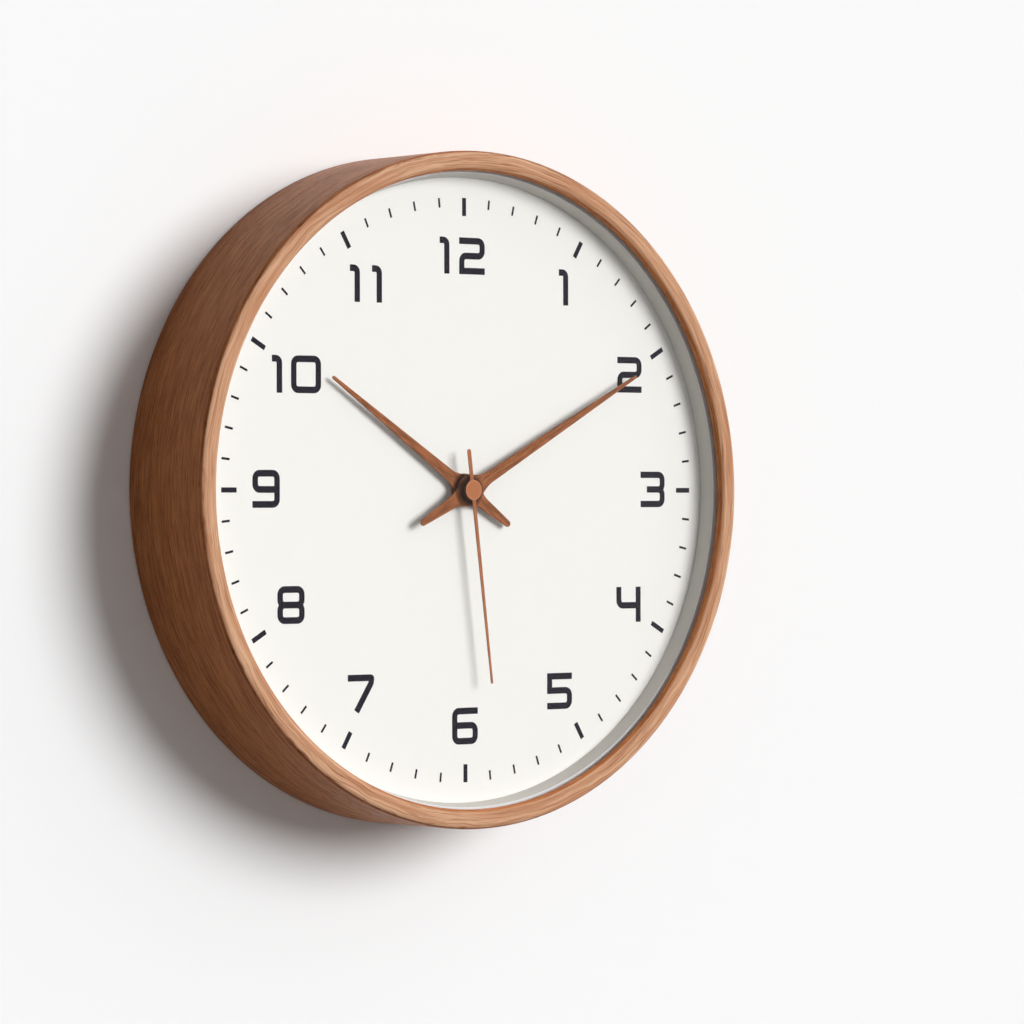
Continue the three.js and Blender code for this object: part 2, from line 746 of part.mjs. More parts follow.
const capBore = arborRadius + runGap;
const capBoreEnd = blade.front;
piece('second_hand_cap', turned([
  [0, capFace.front],
  [capRadius, capFace.front],
  [capRadius, capFace.back],
  [capNeckRadius, capFace.back],
  [capNeckRadius, capFlange.front],
  [capRadius, capFlange.front],
  [capRadius, capFlange.back],
  [capBore, capFlange.back],
  [capBore, capBoreEnd],
  [0, capBoreEnd],
]), materials.secondHand, secondGroup);

// Clamp of the movement on the dial
const nutShape = new THREE.Shape(Array.from({ length: 6 }, (_, i) => {
  const angle = (tau * i) / 6;
  const cornerRadius = nutAcrossFlats / 2 / Math.cos(tau / 12);
  return new THREE.Vector2(cornerRadius * Math.cos(angle), cornerRadius * Math.sin(angle));
}));
const nutBore = circleHole(0, 0, bushingRadius + seatGap, partSegments);
piece('dial_nut', plate(withHoles(nutShape, nutBore), nut), materials.brass);
piece('dial_washer', tube(bushingRadius + seatGap, washerRadius, washer), materials.brass);
piece('movement_gasket', tube(bushingHole, gasketRadius, gasket), materials.rubber);

// The bushing's flange sits in a counterbore of the floor, level with its inside
const flange = { front: floor.back - bushingFlangeThickness, back: floor.back };
piece('threaded_bushing', turned([
  [bushingBore, nut.front],
  [bushingRadius, nut.front],
  [bushingRadius, flange.front],
  [bushingFlangeRadius, flange.front],
  [bushingFlangeRadius, flange.back],
  [bushingBore, flange.back],
  [bushingBore, nut.front],
]), materials.brass);

// From the front of one layer to the back of another
function through(first, last) {
  return { front: first.front, back: last.back };
}

// Wheels of the motion work
const hourTube = { front: hourPlate.front + tubeStandProud, back: hourLayer.back };
piece('hour_wheel', join(
  gear(hourWheelTeeth, hourModule, hourWheelPhase, hourLayer, (hourTubeBore + hourTubeRadius) / 2),
  tube(hourTubeBore, hourTubeRadius, hourTube),
), materials.whitePlastic);

const minuteTube = { front: minutePlate.front + tubeStandProud, back: trainPlate.front - seatGap };
piece('minute_tube', join(
  gear(cannonTeeth, cannonModule, cannonPhase, cannonLayer, (minuteTubeBore + minuteTubeRadius) / 2),
  tube(minuteTubeBore, minuteTubeRadius, minuteTube),
), materials.steel);

const motionPostRadius = pivotRadius * 2;
const motionBore = motionPostRadius + runGap;
const motionPinionSpan = through(hourLayer, cannonLayer);
piece('motion_wheel', at(join(
  gear(motionWheelTeeth, cannonModule, motionWheelPhase, cannonLayer, motionBore),
  gear(motionPinionTeeth, hourModule, motionPinionPhase, motionPinionSpan, motionBore),
), motionAxis), materials.whitePlastic);

// Wheels of the train. Each turns on two pivots that enter blind holes.
const frontPivotInFloor = floor.back - pivotDepth;
const frontPivotInPlate = trainPlate.back - pivotDepth;
const rearPivot = cover.front + pivotDepth;

const centreBore = minuteTubeRadius + runGap;
const centreWheel = gear(centreWheelTeeth, centreModule, centreWheelPhase, centreLayer, centreBore);
piece('centre_wheel', centreWheel, materials.whitePlastic);

piece('third_wheel', at(join(
  gear(thirdPinionTeeth, centreModule, thirdPinionPhase, through(centreLayer, thirdLayer)),
  gear(thirdWheelTeeth, thirdModule, thirdWheelPhase, thirdLayer),
  disc(pivotRadius, { front: frontPivotInFloor, back: rearPivot }, smallSegments),
), thirdAxis), materials.whitePlastic);

const arborBore = arborRadius + runGap;
const secondsPinionSpan = through(thirdLayer, secondsLayer);
piece('seconds_wheel', join(
  gear(secondsPinionTeeth, thirdModule, secondsPinionPhase, secondsPinionSpan, arborBore),
  gear(secondsWheelTeeth, secondsModule, secondsWheelPhase, secondsLayer, arborBore),
), materials.whitePlastic);

const arbor = { front: capBoreEnd + seatGap, back: rearPivot };
piece('seconds_arbor', disc(arborRadius, arbor, smallSegments), materials.steel);

piece('fifth_wheel', at(join(
  gear(fifthPinionTeeth, secondsModule, fifthPinionPhase, through(secondsLayer, fifthLayer)),
  gear(fifthWheelTeeth, fifthModule, fifthWheelPhase, fifthLayer),
  disc(pivotRadius, { front: frontPivotInPlate, back: rearPivot }, smallSegments),
), fifthAxis), materials.whitePlastic);

piece('rotor', at(join(
  gear(rotorPinionTeeth, fifthModule, rotorPinionPhase, { front: fifthLayer.front, back: magnet.front }),
  disc(magnetRadius, magnet),
  disc(pivotRadius, { front: frontPivotInPlate, back: rearPivot }, smallSegments),
), rotorAxis), materials.magnet);

// Motor: a stator round the rotor, and a coil across its arms
const statorLeft = rotorAxis.x - statorHalfWidth;
const statorRight = rotorAxis.x + statorHalfWidth;
const statorBottom = rotorAxis.z - statorMargin;
const statorBridge = coilZ - bobbinFlangeRadius - fitGap;
const statorTop = coilZ + coreWidth / 2;
const statorPins = [
  { x: statorLeft + statorArmWidth / 2, z: coilZ - statorPinBelowCoil },
  { x: statorRight - statorArmWidth / 2, z: coilZ - statorPinBelowCoil },
];
const statorShape = new THREE.Shape([
  [statorLeft, statorBottom],
  [statorRight, statorBottom],
  [statorRight, statorTop],
  [statorRight - statorArmWidth, statorTop],
  [statorRight - statorArmWidth, statorBridge],
  [statorLeft + statorArmWidth, statorBridge],
  [statorLeft + statorArmWidth, statorTop],
  [statorLeft, statorTop],
].map(([x, z]) => new THREE.Vector2(x, z)));
piece('stator', plate(withHoles(
  statorShape,
  circleHole(rotorAxis.x, rotorAxis.z, magnetRadius + statorGap),
  ...statorPins.map(({ x, z }) => circleHole(x, z, statorPinRadius + seatGap)),
), stator), materials.steel);

piece('coil_core', plate(
  rectangle(statorLeft, statorRight, coilZ - coreWidth / 2, coilZ + coreWidth / 2),
  core,
), materials.steel);

// The spool and its winding are turned about Y and then laid along X
function alongX(geometry, x, y, z) {
  geometry.rotateZ(-quarter);
  return geometry.translate(x, y, z);
}

const spoolEnd = coilLength / 2 + bobbinFlangeThickness;
function coilBobbin() {
  const spool = alongX(turned([
    [0, -spoolEnd],
    [bobbinFlangeRadius, -spoolEnd],
    [bobbinFlangeRadius, -coilLength / 2],
    [bobbinRadius, -coilLength / 2],
    [bobbinRadius, coilLength / 2],
    [bobbinFlangeRadius, coilLength / 2],
    [bobbinFlangeRadius, spoolEnd],
    [0, spoolEnd],
  ]), rotorAxis.x, coreMiddle, coilZ);
  const slot = plate(
    rectangle(statorLeft, statorRight, coilZ - coreWidth / 2 - seatGap, coilZ + coreWidth / 2 + seatGap),
    { front: core.front - seatGap, back: core.back + seatGap },
  );
  return cut(spool, slot);
}

const windingHalf = coilLength / 2 - seatGap;
const winding = tube(bobbinRadius + seatGap, coilRadius, { front: -windingHalf, back: windingHalf });
piece('coil_bobbin', coilBobbin(), materials.whitePlastic);
piece('coil_winding', alongX(winding, rotorAxis.x, coreMiddle, coilZ), materials.copper);

// Circuit board in the lower left of the chamber, above the contact strips
const circuitLeft = -chamberHalfWidth + contactThickness + 2 * seatGap;
const circuitBottom = chamberBottom + contactThickness + 2 * seatGap;
const circuitMiddle = { x: circuitLeft + boardWidth / 2, z: circuitBottom + boardHeight / 2 };
const circuitPegs = [0.2, 0.8].map((share) => ({
  x: circuitLeft + boardPegRadius + seatGap,
  z: circuitBottom + boardHeight * share,
}));
piece('circuit_board', plate(
  rectangle(circuitLeft, circuitLeft + boardWidth, circuitBottom, circuitBottom + boardHeight),
  circuit,
), materials.circuit);

const chip = behind(circuit, seatGap, chipHeight);
piece('chip_blob', at(turned([
  [0, chip.front],
  [chipRadius, chip.front],
  [chipRadius * 0.8, chip.front + chipHeight * 0.7],
  [0, chip.back],
], smallSegments), { x: circuitMiddle.x + chipRadius, z: circuitMiddle.z }), materials.blackPlastic);

function crystalCan() {
  const can = disc(crystalRadius, { front: -crystalLength / 2, back: crystalLength / 2 }, smallSegments);
  can.rotateX(quarter);
  const y = circuit.back + seatGap + crystalRadius;
  return can.translate(circuitMiddle.x - boardWidth / 4, y, circuitMiddle.z);
}

piece('crystal_can', crystalCan(), materials.steel);

// Base: floor, walls, partition and posts of the movement
const outerHalfWidth = chamberHalfWidth + baseWall;
const baseBottom = bayBottom - baseWall;
const baseTop = chamberTop + baseWall;
const notchWidth = seatGap + contactThickness + contactBulge;
const chamberPosts = [
  { x: -chamberHalfWidth + postInset, z: chamberTop - postInset },
  { x: chamberHalfWidth - postInset, z: chamberTop - postInset },
  { x: chamberHalfWidth - postInset, z: chamberBottom + postInset + contactThickness },
];

function movementBase() {
  const outline = rectangle(-outerHalfWidth, outerHalfWidth, baseBottom, baseTop, baseCornerRadius);
  const body = plate(outline, { front: floor.front, back: movementRear });
  const room = (bottom, top) => plate(
    rectangle(-chamberHalfWidth, chamberHalfWidth, bottom, top),
    { front: floor.back, back: movementRear + fitGap },
  );
  const shell = cut(body, room(chamberBottom, chamberTop), room(bayBottom, bayTop));
  const foot = floor.back - baseWall / 2;
  const posts = chamberPosts.map((post) => at(turned([
    [0, foot],
    [postRadius, foot],
    [postRadius, trainPlate.front - seatGap],
    [postNeckRadius, trainPlate.front - seatGap],
    [postNeckRadius, cover.front - seatGap],
    [0, cover.front - seatGap],
  ], smallSegments), post));
  const motionPost = at(disc(motionPostRadius, { front: foot, back: cannonLayer.back }), motionAxis);
  const bushingCut = disc(bushingHole, { front: floor.front - fitGap, back: floor.back + fitGap });
  const counterbore = disc(bushingFlangeRadius + fitGap, {
    front: flange.front - seatGap,
    back: floor.back + fitGap,
  });
  const pivotHole = { front: frontPivotInFloor - pivotPlay, back: floor.back + fitGap };
  const thirdHole = at(disc(pivotRadius + runGap, pivotHole, smallSegments), thirdAxis);
  const knobHole = at(disc(knobStemRadius + fitGap, pivotHole, smallSegments), knobAxis);
  const notches = [-chamberHalfWidth, chamberHalfWidth - notchWidth].map((left) => plate(
    rectangle(left, left + notchWidth, bayTop - fitGap, chamberBottom + fitGap),
    { front: contactBand.front - fitGap, back: movementRear + fitGap },
  ));
  const holes = [bushingCut, counterbore, thirdHole, knobHole];
  return cut(join(shell, ...posts, motionPost), ...holes, ...notches);
}

piece('movement_base', movementBase(), materials.blackPlastic);

// Train plate: carries the front pivots, the board and the stator
const chamberFit = () => rectangle(
  -chamberHalfWidth + fitGap,
  chamberHalfWidth - fitGap,
  chamberBottom + fitGap,
  chamberTop - fitGap,
);

function middlePlate() {
  const flat = plate(withHoles(
    chamberFit(),
    circleHole(0, 0, arborRadius + fitGap),
    circleHole(thirdAxis.x, thirdAxis.z, tipRadius(thirdPinionTeeth, centreModule) + layerGap),
    circleHole(knobAxis.x, knobAxis.z, knobStemRadius + fitGap),
    ...chamberPosts.map(({ x, z }) => circleHole(x, z, postNeckRadius + fitGap)),
  ), trainPlate);
  const foot = trainPlate.back - trainPlateThickness / 2;
  const statorPosts = statorPins.map((pin) => at(turned([
    [0, foot],
    [statorPinRadius * 2, foot],
    [statorPinRadius * 2, stator.front - seatGap],
    [statorPinRadius, stator.front - seatGap],
    [statorPinRadius, stator.back + seatGap],
    [0, stator.back + seatGap],
  ], smallSegments), pin));
  const boardPegs = circuitPegs.map((peg) => at(
    disc(boardPegRadius, { front: foot, back: circuit.front - seatGap }, smallSegments),
    peg,
  ));
  const pivotHole = { front: trainPlate.front - fitGap, back: trainPlate.back + fitGap };
  const holes = [fifthAxis, rotorAxis]
    .map((axis) => at(disc(pivotRadius + runGap, pivotHole, smallSegments), axis));
  return cut(join(flat, ...statorPosts, ...boardPegs), ...holes);
}

piece('train_plate', middlePlate(), materials.whitePlastic);

function movementCover() {
  const lid = plate(withHoles(
    chamberFit(),
    circleHole(knobAxis.x, knobAxis.z, knobStemRadius + fitGap),
  ), cover);
  const pivotHole = { front: cover.front - fitGap, back: rearPivot + pivotPlay };
  const arborHole = disc(arborRadius + runGap, pivotHole, smallSegments);
  const holes = [thirdAxis, fifthAxis, rotorAxis]
    .map((axis) => at(disc(pivotRadius + runGap, pivotHole, smallSegments), axis));
  return cut(lid, arborHole, ...holes);
}

piece('movement_cover', movementCover(), materials.blackPlastic);

// Setting knob: fluted head outside the cover, stem, and a pinion on the motion wheel
const knobModule = (2 * knobRadius) / (knobFlutes + 2 * toothTip);
piece('setting_knob', at(join(
  gear(knobFlutes, knobModule, 0, knobHead),
  gear(knobTeeth, cannonModule, knobPhase, cannonLayer),
  disc(knobStemRadius, { front: frontPivotInFloor, back: knobHead.back }, smallSegments),
), knobAxis), materials.whitePlastic);

// Battery contacts: strips that bulge to meet the battery's ends and run to the circuit board
const stripRoot = bayBottom + seatGap;
const stripBend = chamberBottom + seatGap + contactThickness;
const wallX = chamberHalfWidth - seatGap;
const bulgeX = wallX - contactBulge;

piece('contact_minus', plate(ribbon([
  [-wallX, stripRoot],
  [-wallX, batteryZ - nubRadius],
  [-bulgeX, batteryZ],
  [-wallX, batteryZ + nubRadius],
  [-wallX, circuitMiddle.z],
].reverse(), contactThickness), contactBand), materials.steel);

piece('contact_plus', plate(ribbon([
  [wallX, stripRoot],
  [wallX, batteryZ - nubRadius],
  [bulgeX, batteryZ],
  [wallX, batteryZ + nubRadius],
  [wallX, stripBend],
  [circuitMiddle.x, stripBend],
], contactThickness), contactBand), materials.steel);

// Battery, turned about Y and laid along X with its nub to the right
const bodyEnd = batteryHalf - nubLength;
const edgeCentre = batteryRadius - batteryEdgeRadius;
piece('battery', alongX(turned([
  [0, -batteryHalf],
  ...rounding(edgeCentre, -batteryHalf + batteryEdgeRadius, batteryEdgeRadius, -quarter, 0),
  ...rounding(edgeCentre, bodyEnd - batteryEdgeRadius, batteryEdgeRadius, 0, quarter),
  [nubRadius, bodyEnd],
  [nubRadius, batteryHalf],
  [0, batteryHalf],
]), 0, batteryY, batteryZ), materials.battery);

export default clock;
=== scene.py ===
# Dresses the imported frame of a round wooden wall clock: bent-wood drum, lens, dial with its print,
# hands, rear fittings, movement and battery, shown on a plain pale wall. Lengths are in metres,
# the dial faces -Y and the wall is at +Y.
import math

import bmesh
import bpy
from bpy.props import FloatProperty, FloatVectorProperty, IntProperty, PointerProperty
from mathutils import Euler, Matrix, Vector
from mathutils.geometry import delaunay_2d_cdt


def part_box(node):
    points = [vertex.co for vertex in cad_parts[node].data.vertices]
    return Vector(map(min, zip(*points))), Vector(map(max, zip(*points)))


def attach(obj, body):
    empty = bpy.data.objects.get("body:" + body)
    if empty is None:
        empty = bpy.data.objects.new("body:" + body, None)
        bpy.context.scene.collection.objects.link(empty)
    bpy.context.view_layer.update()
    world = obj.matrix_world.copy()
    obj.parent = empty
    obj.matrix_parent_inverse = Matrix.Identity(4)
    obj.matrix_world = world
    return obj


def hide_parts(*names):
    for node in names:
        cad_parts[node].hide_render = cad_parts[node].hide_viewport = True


bl_info = {
    "name": "Wooden wall clock",
    "version": (1, 0, 0),
    "blender": (4, 5, 0),
    "location": "3D View > Sidebar > Wall clock",
    "description": "Builds the visible pieces and finishes of a round wooden wall clock on its frame",
    "category": "Object",
}

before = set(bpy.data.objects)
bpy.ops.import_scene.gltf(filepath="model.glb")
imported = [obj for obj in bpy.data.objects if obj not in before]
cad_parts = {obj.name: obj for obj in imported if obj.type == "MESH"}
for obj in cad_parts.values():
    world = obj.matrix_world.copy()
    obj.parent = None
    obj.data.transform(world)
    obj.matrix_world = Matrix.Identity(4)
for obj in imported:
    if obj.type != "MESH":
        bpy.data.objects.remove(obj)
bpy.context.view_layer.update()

MM = 0.001
FULL_TURN = math.tau

# Points closer than this are one: of a finished mesh, of a turned grid or a node of the frame, and
# of a stroke's middle line
SAME_POINT = 0.001 * MM
SAME_PLACE = 0.002 * MM
SAME_STEP = 1e-9
OUTLINE_PRECISION = 1e-7

# At a sharp corner, a stroke's edge reaches out by half its width divided by no less than this
SHARP_CORNER_LIMIT = 0.4

# Edges sharper than this many degrees are rounded: of slabs, of the frame's pieces, of the knob
SLAB_CORNER = 60
PIECE_CORNER = 25
KNOB_CORNER = 20

# Faces within the first angle count as flat, and edges beyond the others as sharp
FLAT_ANGLE = math.radians(0.5)
SHARP_ANGLE = math.radians(32)
SCREW_SHARP_ANGLE = math.radians(40)

# Steps round small turned pieces and round holes
SMALL_STEPS = 96
HOLE_STEPS = 48

# Screw heads: rings and steps of the dome, and how the rings close up towards the rim. As shares of
# the head: its flat middle, how far the dome falls to the rim, and the cross recess with its rise
# towards the ends.
SCREW_RINGS = 14
SCREW_STEPS = 48
SCREW_RING_POWER = 0.9
SCREW_FLAT = 0.6
SCREW_FALL = 0.75
SCREW_FALL_POWER = 2.2
SCREW_RECESS_HALF = 0.13
SCREW_RECESS_REACH = 0.62
SCREW_RECESS_DEPTH = 0.62
SCREW_RECESS_RISE = 0.55

# Second hand: its edges against those of the other hands, the cap's gaps and its hole
BLADE_EDGE_SHARE = 0.6
CAP_GAP = 0.15 * MM
PIN_RADIUS = 0.62 * MM

# Edges and gaps of the fittings
NUT_EDGE = 0.18 * MM
WASHER_EDGE = 0.12 * MM
KNOB_EDGE = 0.15 * MM
PLATE_EDGE = 0.2 * MM
PLATE_SCREW_GAP = 0.2 * MM
HOOP_SCREW_GAP = 0.3 * MM

# Battery: the sleeve folded over both ends, the metal can inside it, and the sleeve's pale band and
# rule, measured from the nub's end
SLEEVE_FOLD = 1.3 * MM
SLEEVE_GAP = 0.1 * MM
CELL_CAN_INSET = 1.5 * MM
CELL_BASE_INSET = 1.7 * MM
CELL_GROOVE = 0.25 * MM
CELL_NUB_FOOT = 0.5 * MM
CELL_CAN_EDGE = 0.1 * MM
CELL_END_EDGE = 0.2 * MM
CELL_NUB_EDGE = 0.3 * MM
SLEEVE_BAND = 12.4 * MM
SLEEVE_RULE = 13.4 * MM

# Wall and floor: the hollow where they meet, how high above the floor its paling has faded away,
# how far both reach, and the steps round the opening behind the case
COVE = 0.3
COVE_STEPS = 24
FLOOR_FADE = COVE - 0.2
WALL_HALF_WIDTH = 2.5
WALL_TOP = 2.5
WALL_OPENING_STEPS = 128
FLOOR_FRONT = -1.3

# How far out the lights stand. Then where the two lesser ones shine from, and how wide they look
# from the clock.
LIGHT_DISTANCE = 3.0
UPPER_LIGHT_FROM = (0.7, -0.44, 0.56)
UPPER_LIGHT_SIZE = math.radians(44)
REAR_LIGHT_FROM = (0.3, 1.0, 0.35)
REAR_LIGHT_SIZE = math.radians(30)

# Where the photograph was taken from, with the turn in degrees, and the lens in millimetres
CAMERA_PLACE = (-1.2282, -1.5921, -0.0083)
CAMERA_TURN = (89.958, 0.141, -38.520)
CAMERA_LENS = 158.2
CAMERA_SENSOR = 36.0
CAMERA_NEAR = 0.05
CAMERA_FAR = 50.0


def layer(node):
    """Front and rear depth of a node of the frame."""
    low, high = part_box(node)
    return low.y, high.y


def reach(node):
    """How far a node of the frame stands out from the axis of the hands."""
    low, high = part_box(node)
    return max(high.x, -low.x, high.z, -low.z)


def middle(node):
    low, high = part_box(node)
    return (low + high) / 2


def paint_tone(red, green, blue):
    """Turns a colour from the 0 to 255 of a screen into the linear one of the shaders."""
    parts = []
    for value in (red, green, blue):
        share = value / 255
        if share <= 0.04045:
            parts.append(share / 12.92)
        else:
            parts.append(((share + 0.055) / 1.055) ** 2.4)
    return tuple(parts)


def scaled(tone, *scales):
    """A colour whose parts are all scaled by one number, or each by its own."""
    if len(scales) == 1:
        scales *= 3
    return tuple(part * scale for part, scale in zip(tone, scales))


def strength(name, description, default):
    return FloatProperty(name=name, description=description, default=default, min=0.0)


def length(name, description, millimetres):
    return FloatProperty(
        name=name, description=description, default=millimetres * MM,
        min=0.0, unit="LENGTH", subtype="DISTANCE", precision=4,
    )


def turn(name, description, degrees):
    return FloatProperty(
        name=name, description=description, default=math.radians(degrees), subtype="ANGLE",
    )


def count(name, description, default):
    return IntProperty(name=name, description=description, default=default, min=1)


def share(name, description, default):
    return FloatProperty(
        name=name, description=description, default=default, min=0.0, max=4.0, subtype="FACTOR",
    )


def colour(name, description, red, green, blue):
    return FloatVectorProperty(
        name=name, description=description, default=paint_tone(red, green, blue),
        size=3, min=0.0, max=1.0, subtype="COLOR",
    )


class ClockCaseSizes(bpy.types.PropertyGroup):
    """Sizes of the drum case, its lens and the ring between lens and dial"""

    lip_width: length("Lip width", "Front face, from the outside to the opening", 8.8)
    lip_depth: length("Lip depth", "Front face to the seat of the lens", 3.2)
    wall: length("Wall", "Thickness of the drum behind the lip", 4.8)
    front_edge: length("Front edge", "Radius of the outer front edge", 2.4)
    lip_edge: length("Lip edge", "Radius of the opening's front edge", 2.8)
    rear_edge: length("Rear edge", "Radius of the rim that lies on the wall", 0.8)
    fine_edge: length("Fine edge", "Radius of the broken edges inside", 0.25)
    ledge: length("Spacer ledge", "How far the spacer shows inside the lip", 0.8)
    draft: length("Spacer draft", "How much the spacer narrows towards the dial", 1.6)
    ring_steps: count("Ring steps", "Faces round the case", 256)


class ClockDialSizes(bpy.types.PropertyGroup):
    """Sizes of the dial's minute marks and numerals"""

    mark_count: count("Marks", "Minute marks round the dial", 60)
    major_every: count("Hour mark every", "Each so many marks, one is an hour mark", 5)
    ring_right: length("Ring shift", "How far right of the axis the ring of marks is printed", 0.6)
    ring_stretch: share("Ring stretch", "Width of the ring of marks against its height", 1.014)
    ring_bulge: length("Ring bulge", "How far the ring of marks bulges at its four corners", 1.8)
    major_radius: length("Hour mark radius", "Middle of an hour mark from the axis", 125.8)
    major_length: length("Hour mark length", "Along the radius", 8.0)
    major_width: length("Hour mark width", "Across the radius", 2.2)
    minor_radius: length("Minute mark radius", "Middle of a minute mark from the axis", 127.8)
    minor_length: length("Minute mark length", "Along the radius", 4.2)
    minor_width: length("Minute mark width", "Across the radius", 1.0)
    ink: length("Ink", "How far the print stands out of the dial", 0.04)
    glyph_height: length("Numeral height", "Height of a numeral", 16.3)
    glyph_width: length("Numeral width", "Width of a numeral", 14.4)
    zero_width: length("Zero width", "Width of the zero", 16.0)
    flag: length("Flag of the one", "How far the one's flag stands out of its stem", 2.5)
    stroke: length("Stroke", "Width of a numeral's stroke", 2.9)
    corner: length("Corner", "Radius of the stroke's middle line at a corner", 2.3)
    corner_steps: count("Corner steps", "Steps round a stroke's corner", 8)


class ClockHandSizes(bpy.types.PropertyGroup):
    """Sizes of the hands and of the pieces on their axis"""

    hour_length: length("Hour hand length", "Axis to tip", 88.8)
    hour_tail: length("Hour hand tail", "Axis to tail", 28.5)
    hour_root: length("Hour hand root width", "Width beside the hub", 5.1)
    minute_length: length("Minute hand length", "Axis to tip", 109.5)
    minute_tail: length("Minute hand tail", "Axis to tail", 31.5)
    minute_root: length("Minute hand root width", "Width beside the hub", 5.4)
    tip_width: length("Tip width", "Width at the tips of hour and minute hand", 1.5)
    tail_width: length("Tail width", "Width at the tails of hour and minute hand", 3.0)
    hub_radius: length("Hub radius", "Round hub of hour and minute hand", 7.0)
    hub_reach: length("Hub reach", "Where an arm's straight side starts", 13.0)
    hub_start: turn("Hub fillet", "Angle from the arm where the hub's arc ends", 55)
    eye_start: turn("Eye fillet", "Angle from the second hand where its eye's arc ends", 22)
    hour_bore: length("Hour hand bore", "Radius of its hole", 2.72)
    minute_bore: length("Minute hand bore", "Radius of its hole", 1.65)
    # The next two radii are of the painted shade round each hand's hole
    hour_hub_shade: length("Hour hand boss", "Radius of the dark boss round its hole", 7.6)
    minute_hub_shade: length("Minute hand boss", "Radius of the dark boss round its hole", 6.2)
    second_length: length("Second hand length", "Axis to tip", 86.7)
    second_tail: length("Second hand tail", "Axis to tail", 18.3)
    second_root: length("Second hand root width", "Width beside the eye", 1.9)
    second_tip: length("Second hand tip width", "Width at the tip", 1.1)
    second_tail_width: length("Second hand tail width", "Width at the tail", 2.0)
    eye_radius: length("Second hand eye", "Radius of the eye behind the cap", 4.3)
    eye_bore: length("Second hand bore", "Radius of the eye's hole", 1.7)
    cap_neck: length("Cap neck", "Radius of the cap between its two flanges", 1.5)
    edge: length("Plate edge", "Rounding of the hands' edges", 0.14)
    cap_edge: length("Cap edge", "Rounding of the cap's edge", 0.15)
    hour_angle: turn("Hour hand angle", "Clockwise from twelve", 303.6)
    minute_angle: turn("Minute hand angle", "Clockwise from twelve", 61.6)
    second_angle: turn("Second hand angle", "Clockwise from twelve", 173.0)
    nut_flats: length("Nut", "Dial nut across its flats", 11.0)
    nut_bore: length("Nut bore", "Radius of the hole of nut and washer", 4.04)
    outline_steps: count("Outline steps", "Steps round a hand's fillet", 14)


class ClockRearSizes(bpy.types.PropertyGroup):
    """Sizes of what shows from behind"""

    hoop_width: length("Hoop width", "Thickness of the bent hoop", 4.5)
    hoop_split: length("Hoop split", "Open joint of the hoop at the bottom", 1.6)
    screw_radius: length("Screw head radius", "Round heads of hoop and hanger screws", 3.0)
    screw_height: length("Screw head height", "How far the heads stand out", 1.5)
    shank_radius: length("Screw shank radius", "Shank of the screws", 1.4)
    screw_length: length("Screw length", "Under the head", 8.0)
    hoop_screws: count("Hoop screws", "Screws round the hoop", 4)
    hanger_spacing: length("Hanger screw spacing", "Between the hanger's two screws", 35.0)
    turn_seed: count("Screw turns", "Seed of the turns that the slots stopped at", 7)
    wood_edge: length("Wood edge", "Broken edges of the wooden block", 0.5)
    moulded_edge: length("Moulded edge", "Rounding of moulded pieces", 0.25)
    knob_flutes: count("Knob flutes", "Flutes round the setting knob", 12)
    cell_radius: length("Battery radius", "Radius of the cell", 7.1)
    cell_nub: length("Battery nub radius", "Radius of the contact nub", 2.75)
    cell_nub_length: length("Battery nub length", "How far the nub stands out", 1.2)
    cell_edge: length("Battery edge", "Rounding of the cell's ends", 0.8)


class ClockColours(bpy.types.PropertyGroup):
    """Colours of the clock's finishes"""

    veneer: colour("Veneer", "Drum wall", 208, 133, 82)
    veneer_dark: colour("Veneer grain", "Dark lines of the drum's grain", 160, 93, 50)
    lip: colour("Lip", "Front face of the drum", 218, 172, 138)
    lip_dark: colour("Lip bands", "Darker bands on the front face", 192, 138, 104)
    lip_line: colour("Lip grain", "Dark lines on the front face", 132, 78, 46)
    paper: colour("Dial", "White of the dial", 248, 247, 243)
    print_ink: colour("Print", "Black of marks and numerals", 32, 29, 38)
    spacer: colour("Spacer", "Ring between lens and dial", 206, 202, 195)
    hand: colour("Hands", "Hour and minute hand", 168, 103, 64)
    copper: colour("Second hand", "Second hand and its cap", 188, 120, 78)
    brass: colour("Brass", "Nut, washer and bushing", 192, 148, 88)
    plain_wood: colour("Plain wood", "Hoop and hanger block", 205, 168, 124)
    plain_wood_dark: colour("Plain wood grain", "Dark lines of the plain wood", 168, 124, 82)
    board: colour("Board", "Fibreboard behind the dial", 150, 118, 86)
    steel: colour("Steel", "Plated steel", 186, 188, 190)
    moulded: colour("Movement case", "Moulded case of the movement", 30, 30, 32)
    wheel: colour("Wheels", "Moulded wheels and the knob", 232, 230, 222)
    sleeve: colour("Battery sleeve", "Printed sleeve of the cell", 52, 62, 76)
    band: colour("Battery band", "Band round the positive end", 196, 198, 200)


class ClockStudio(bpy.types.PropertyGroup):
    """Wall, floor and light"""

    wall_colour: colour("Wall", "Wall and floor", 250, 250, 250)
    key_strength: strength("Key light", "Strength of the large soft light", 2.7)
    key_size: turn("Key light size", "How wide the key light looks from the clock", 30)
    key_from_right: turn("Key light side", "From straight in front towards the right", 32)
    key_height: turn("Key light height", "Above the horizon", 15)
    upper_strength: strength("Upper light", "Strength of the light from the upper right", 0.5)
    rear_strength: strength("Rear light", "Strength of the light behind the wall", 2.2)
    sky_strength: share("Sky", "Light from all sides", 0.24)
    wall_bounce: share("Wall bounce", "How much of its light the wall throws back on the clock", 0.34)
    wall_gap: length("Wall gap", "Between the rear rim and the wall", 0.05)
    wall_opening: length("Wall opening", "Hole in the wall behind the case", 149.4)
    floor_drop: length("Floor", "How far the floor lies below the axis of the hands", 760)
    floor_lift: share("Floor lift", "How much the floor is paled where the camera sees it", 0.38)


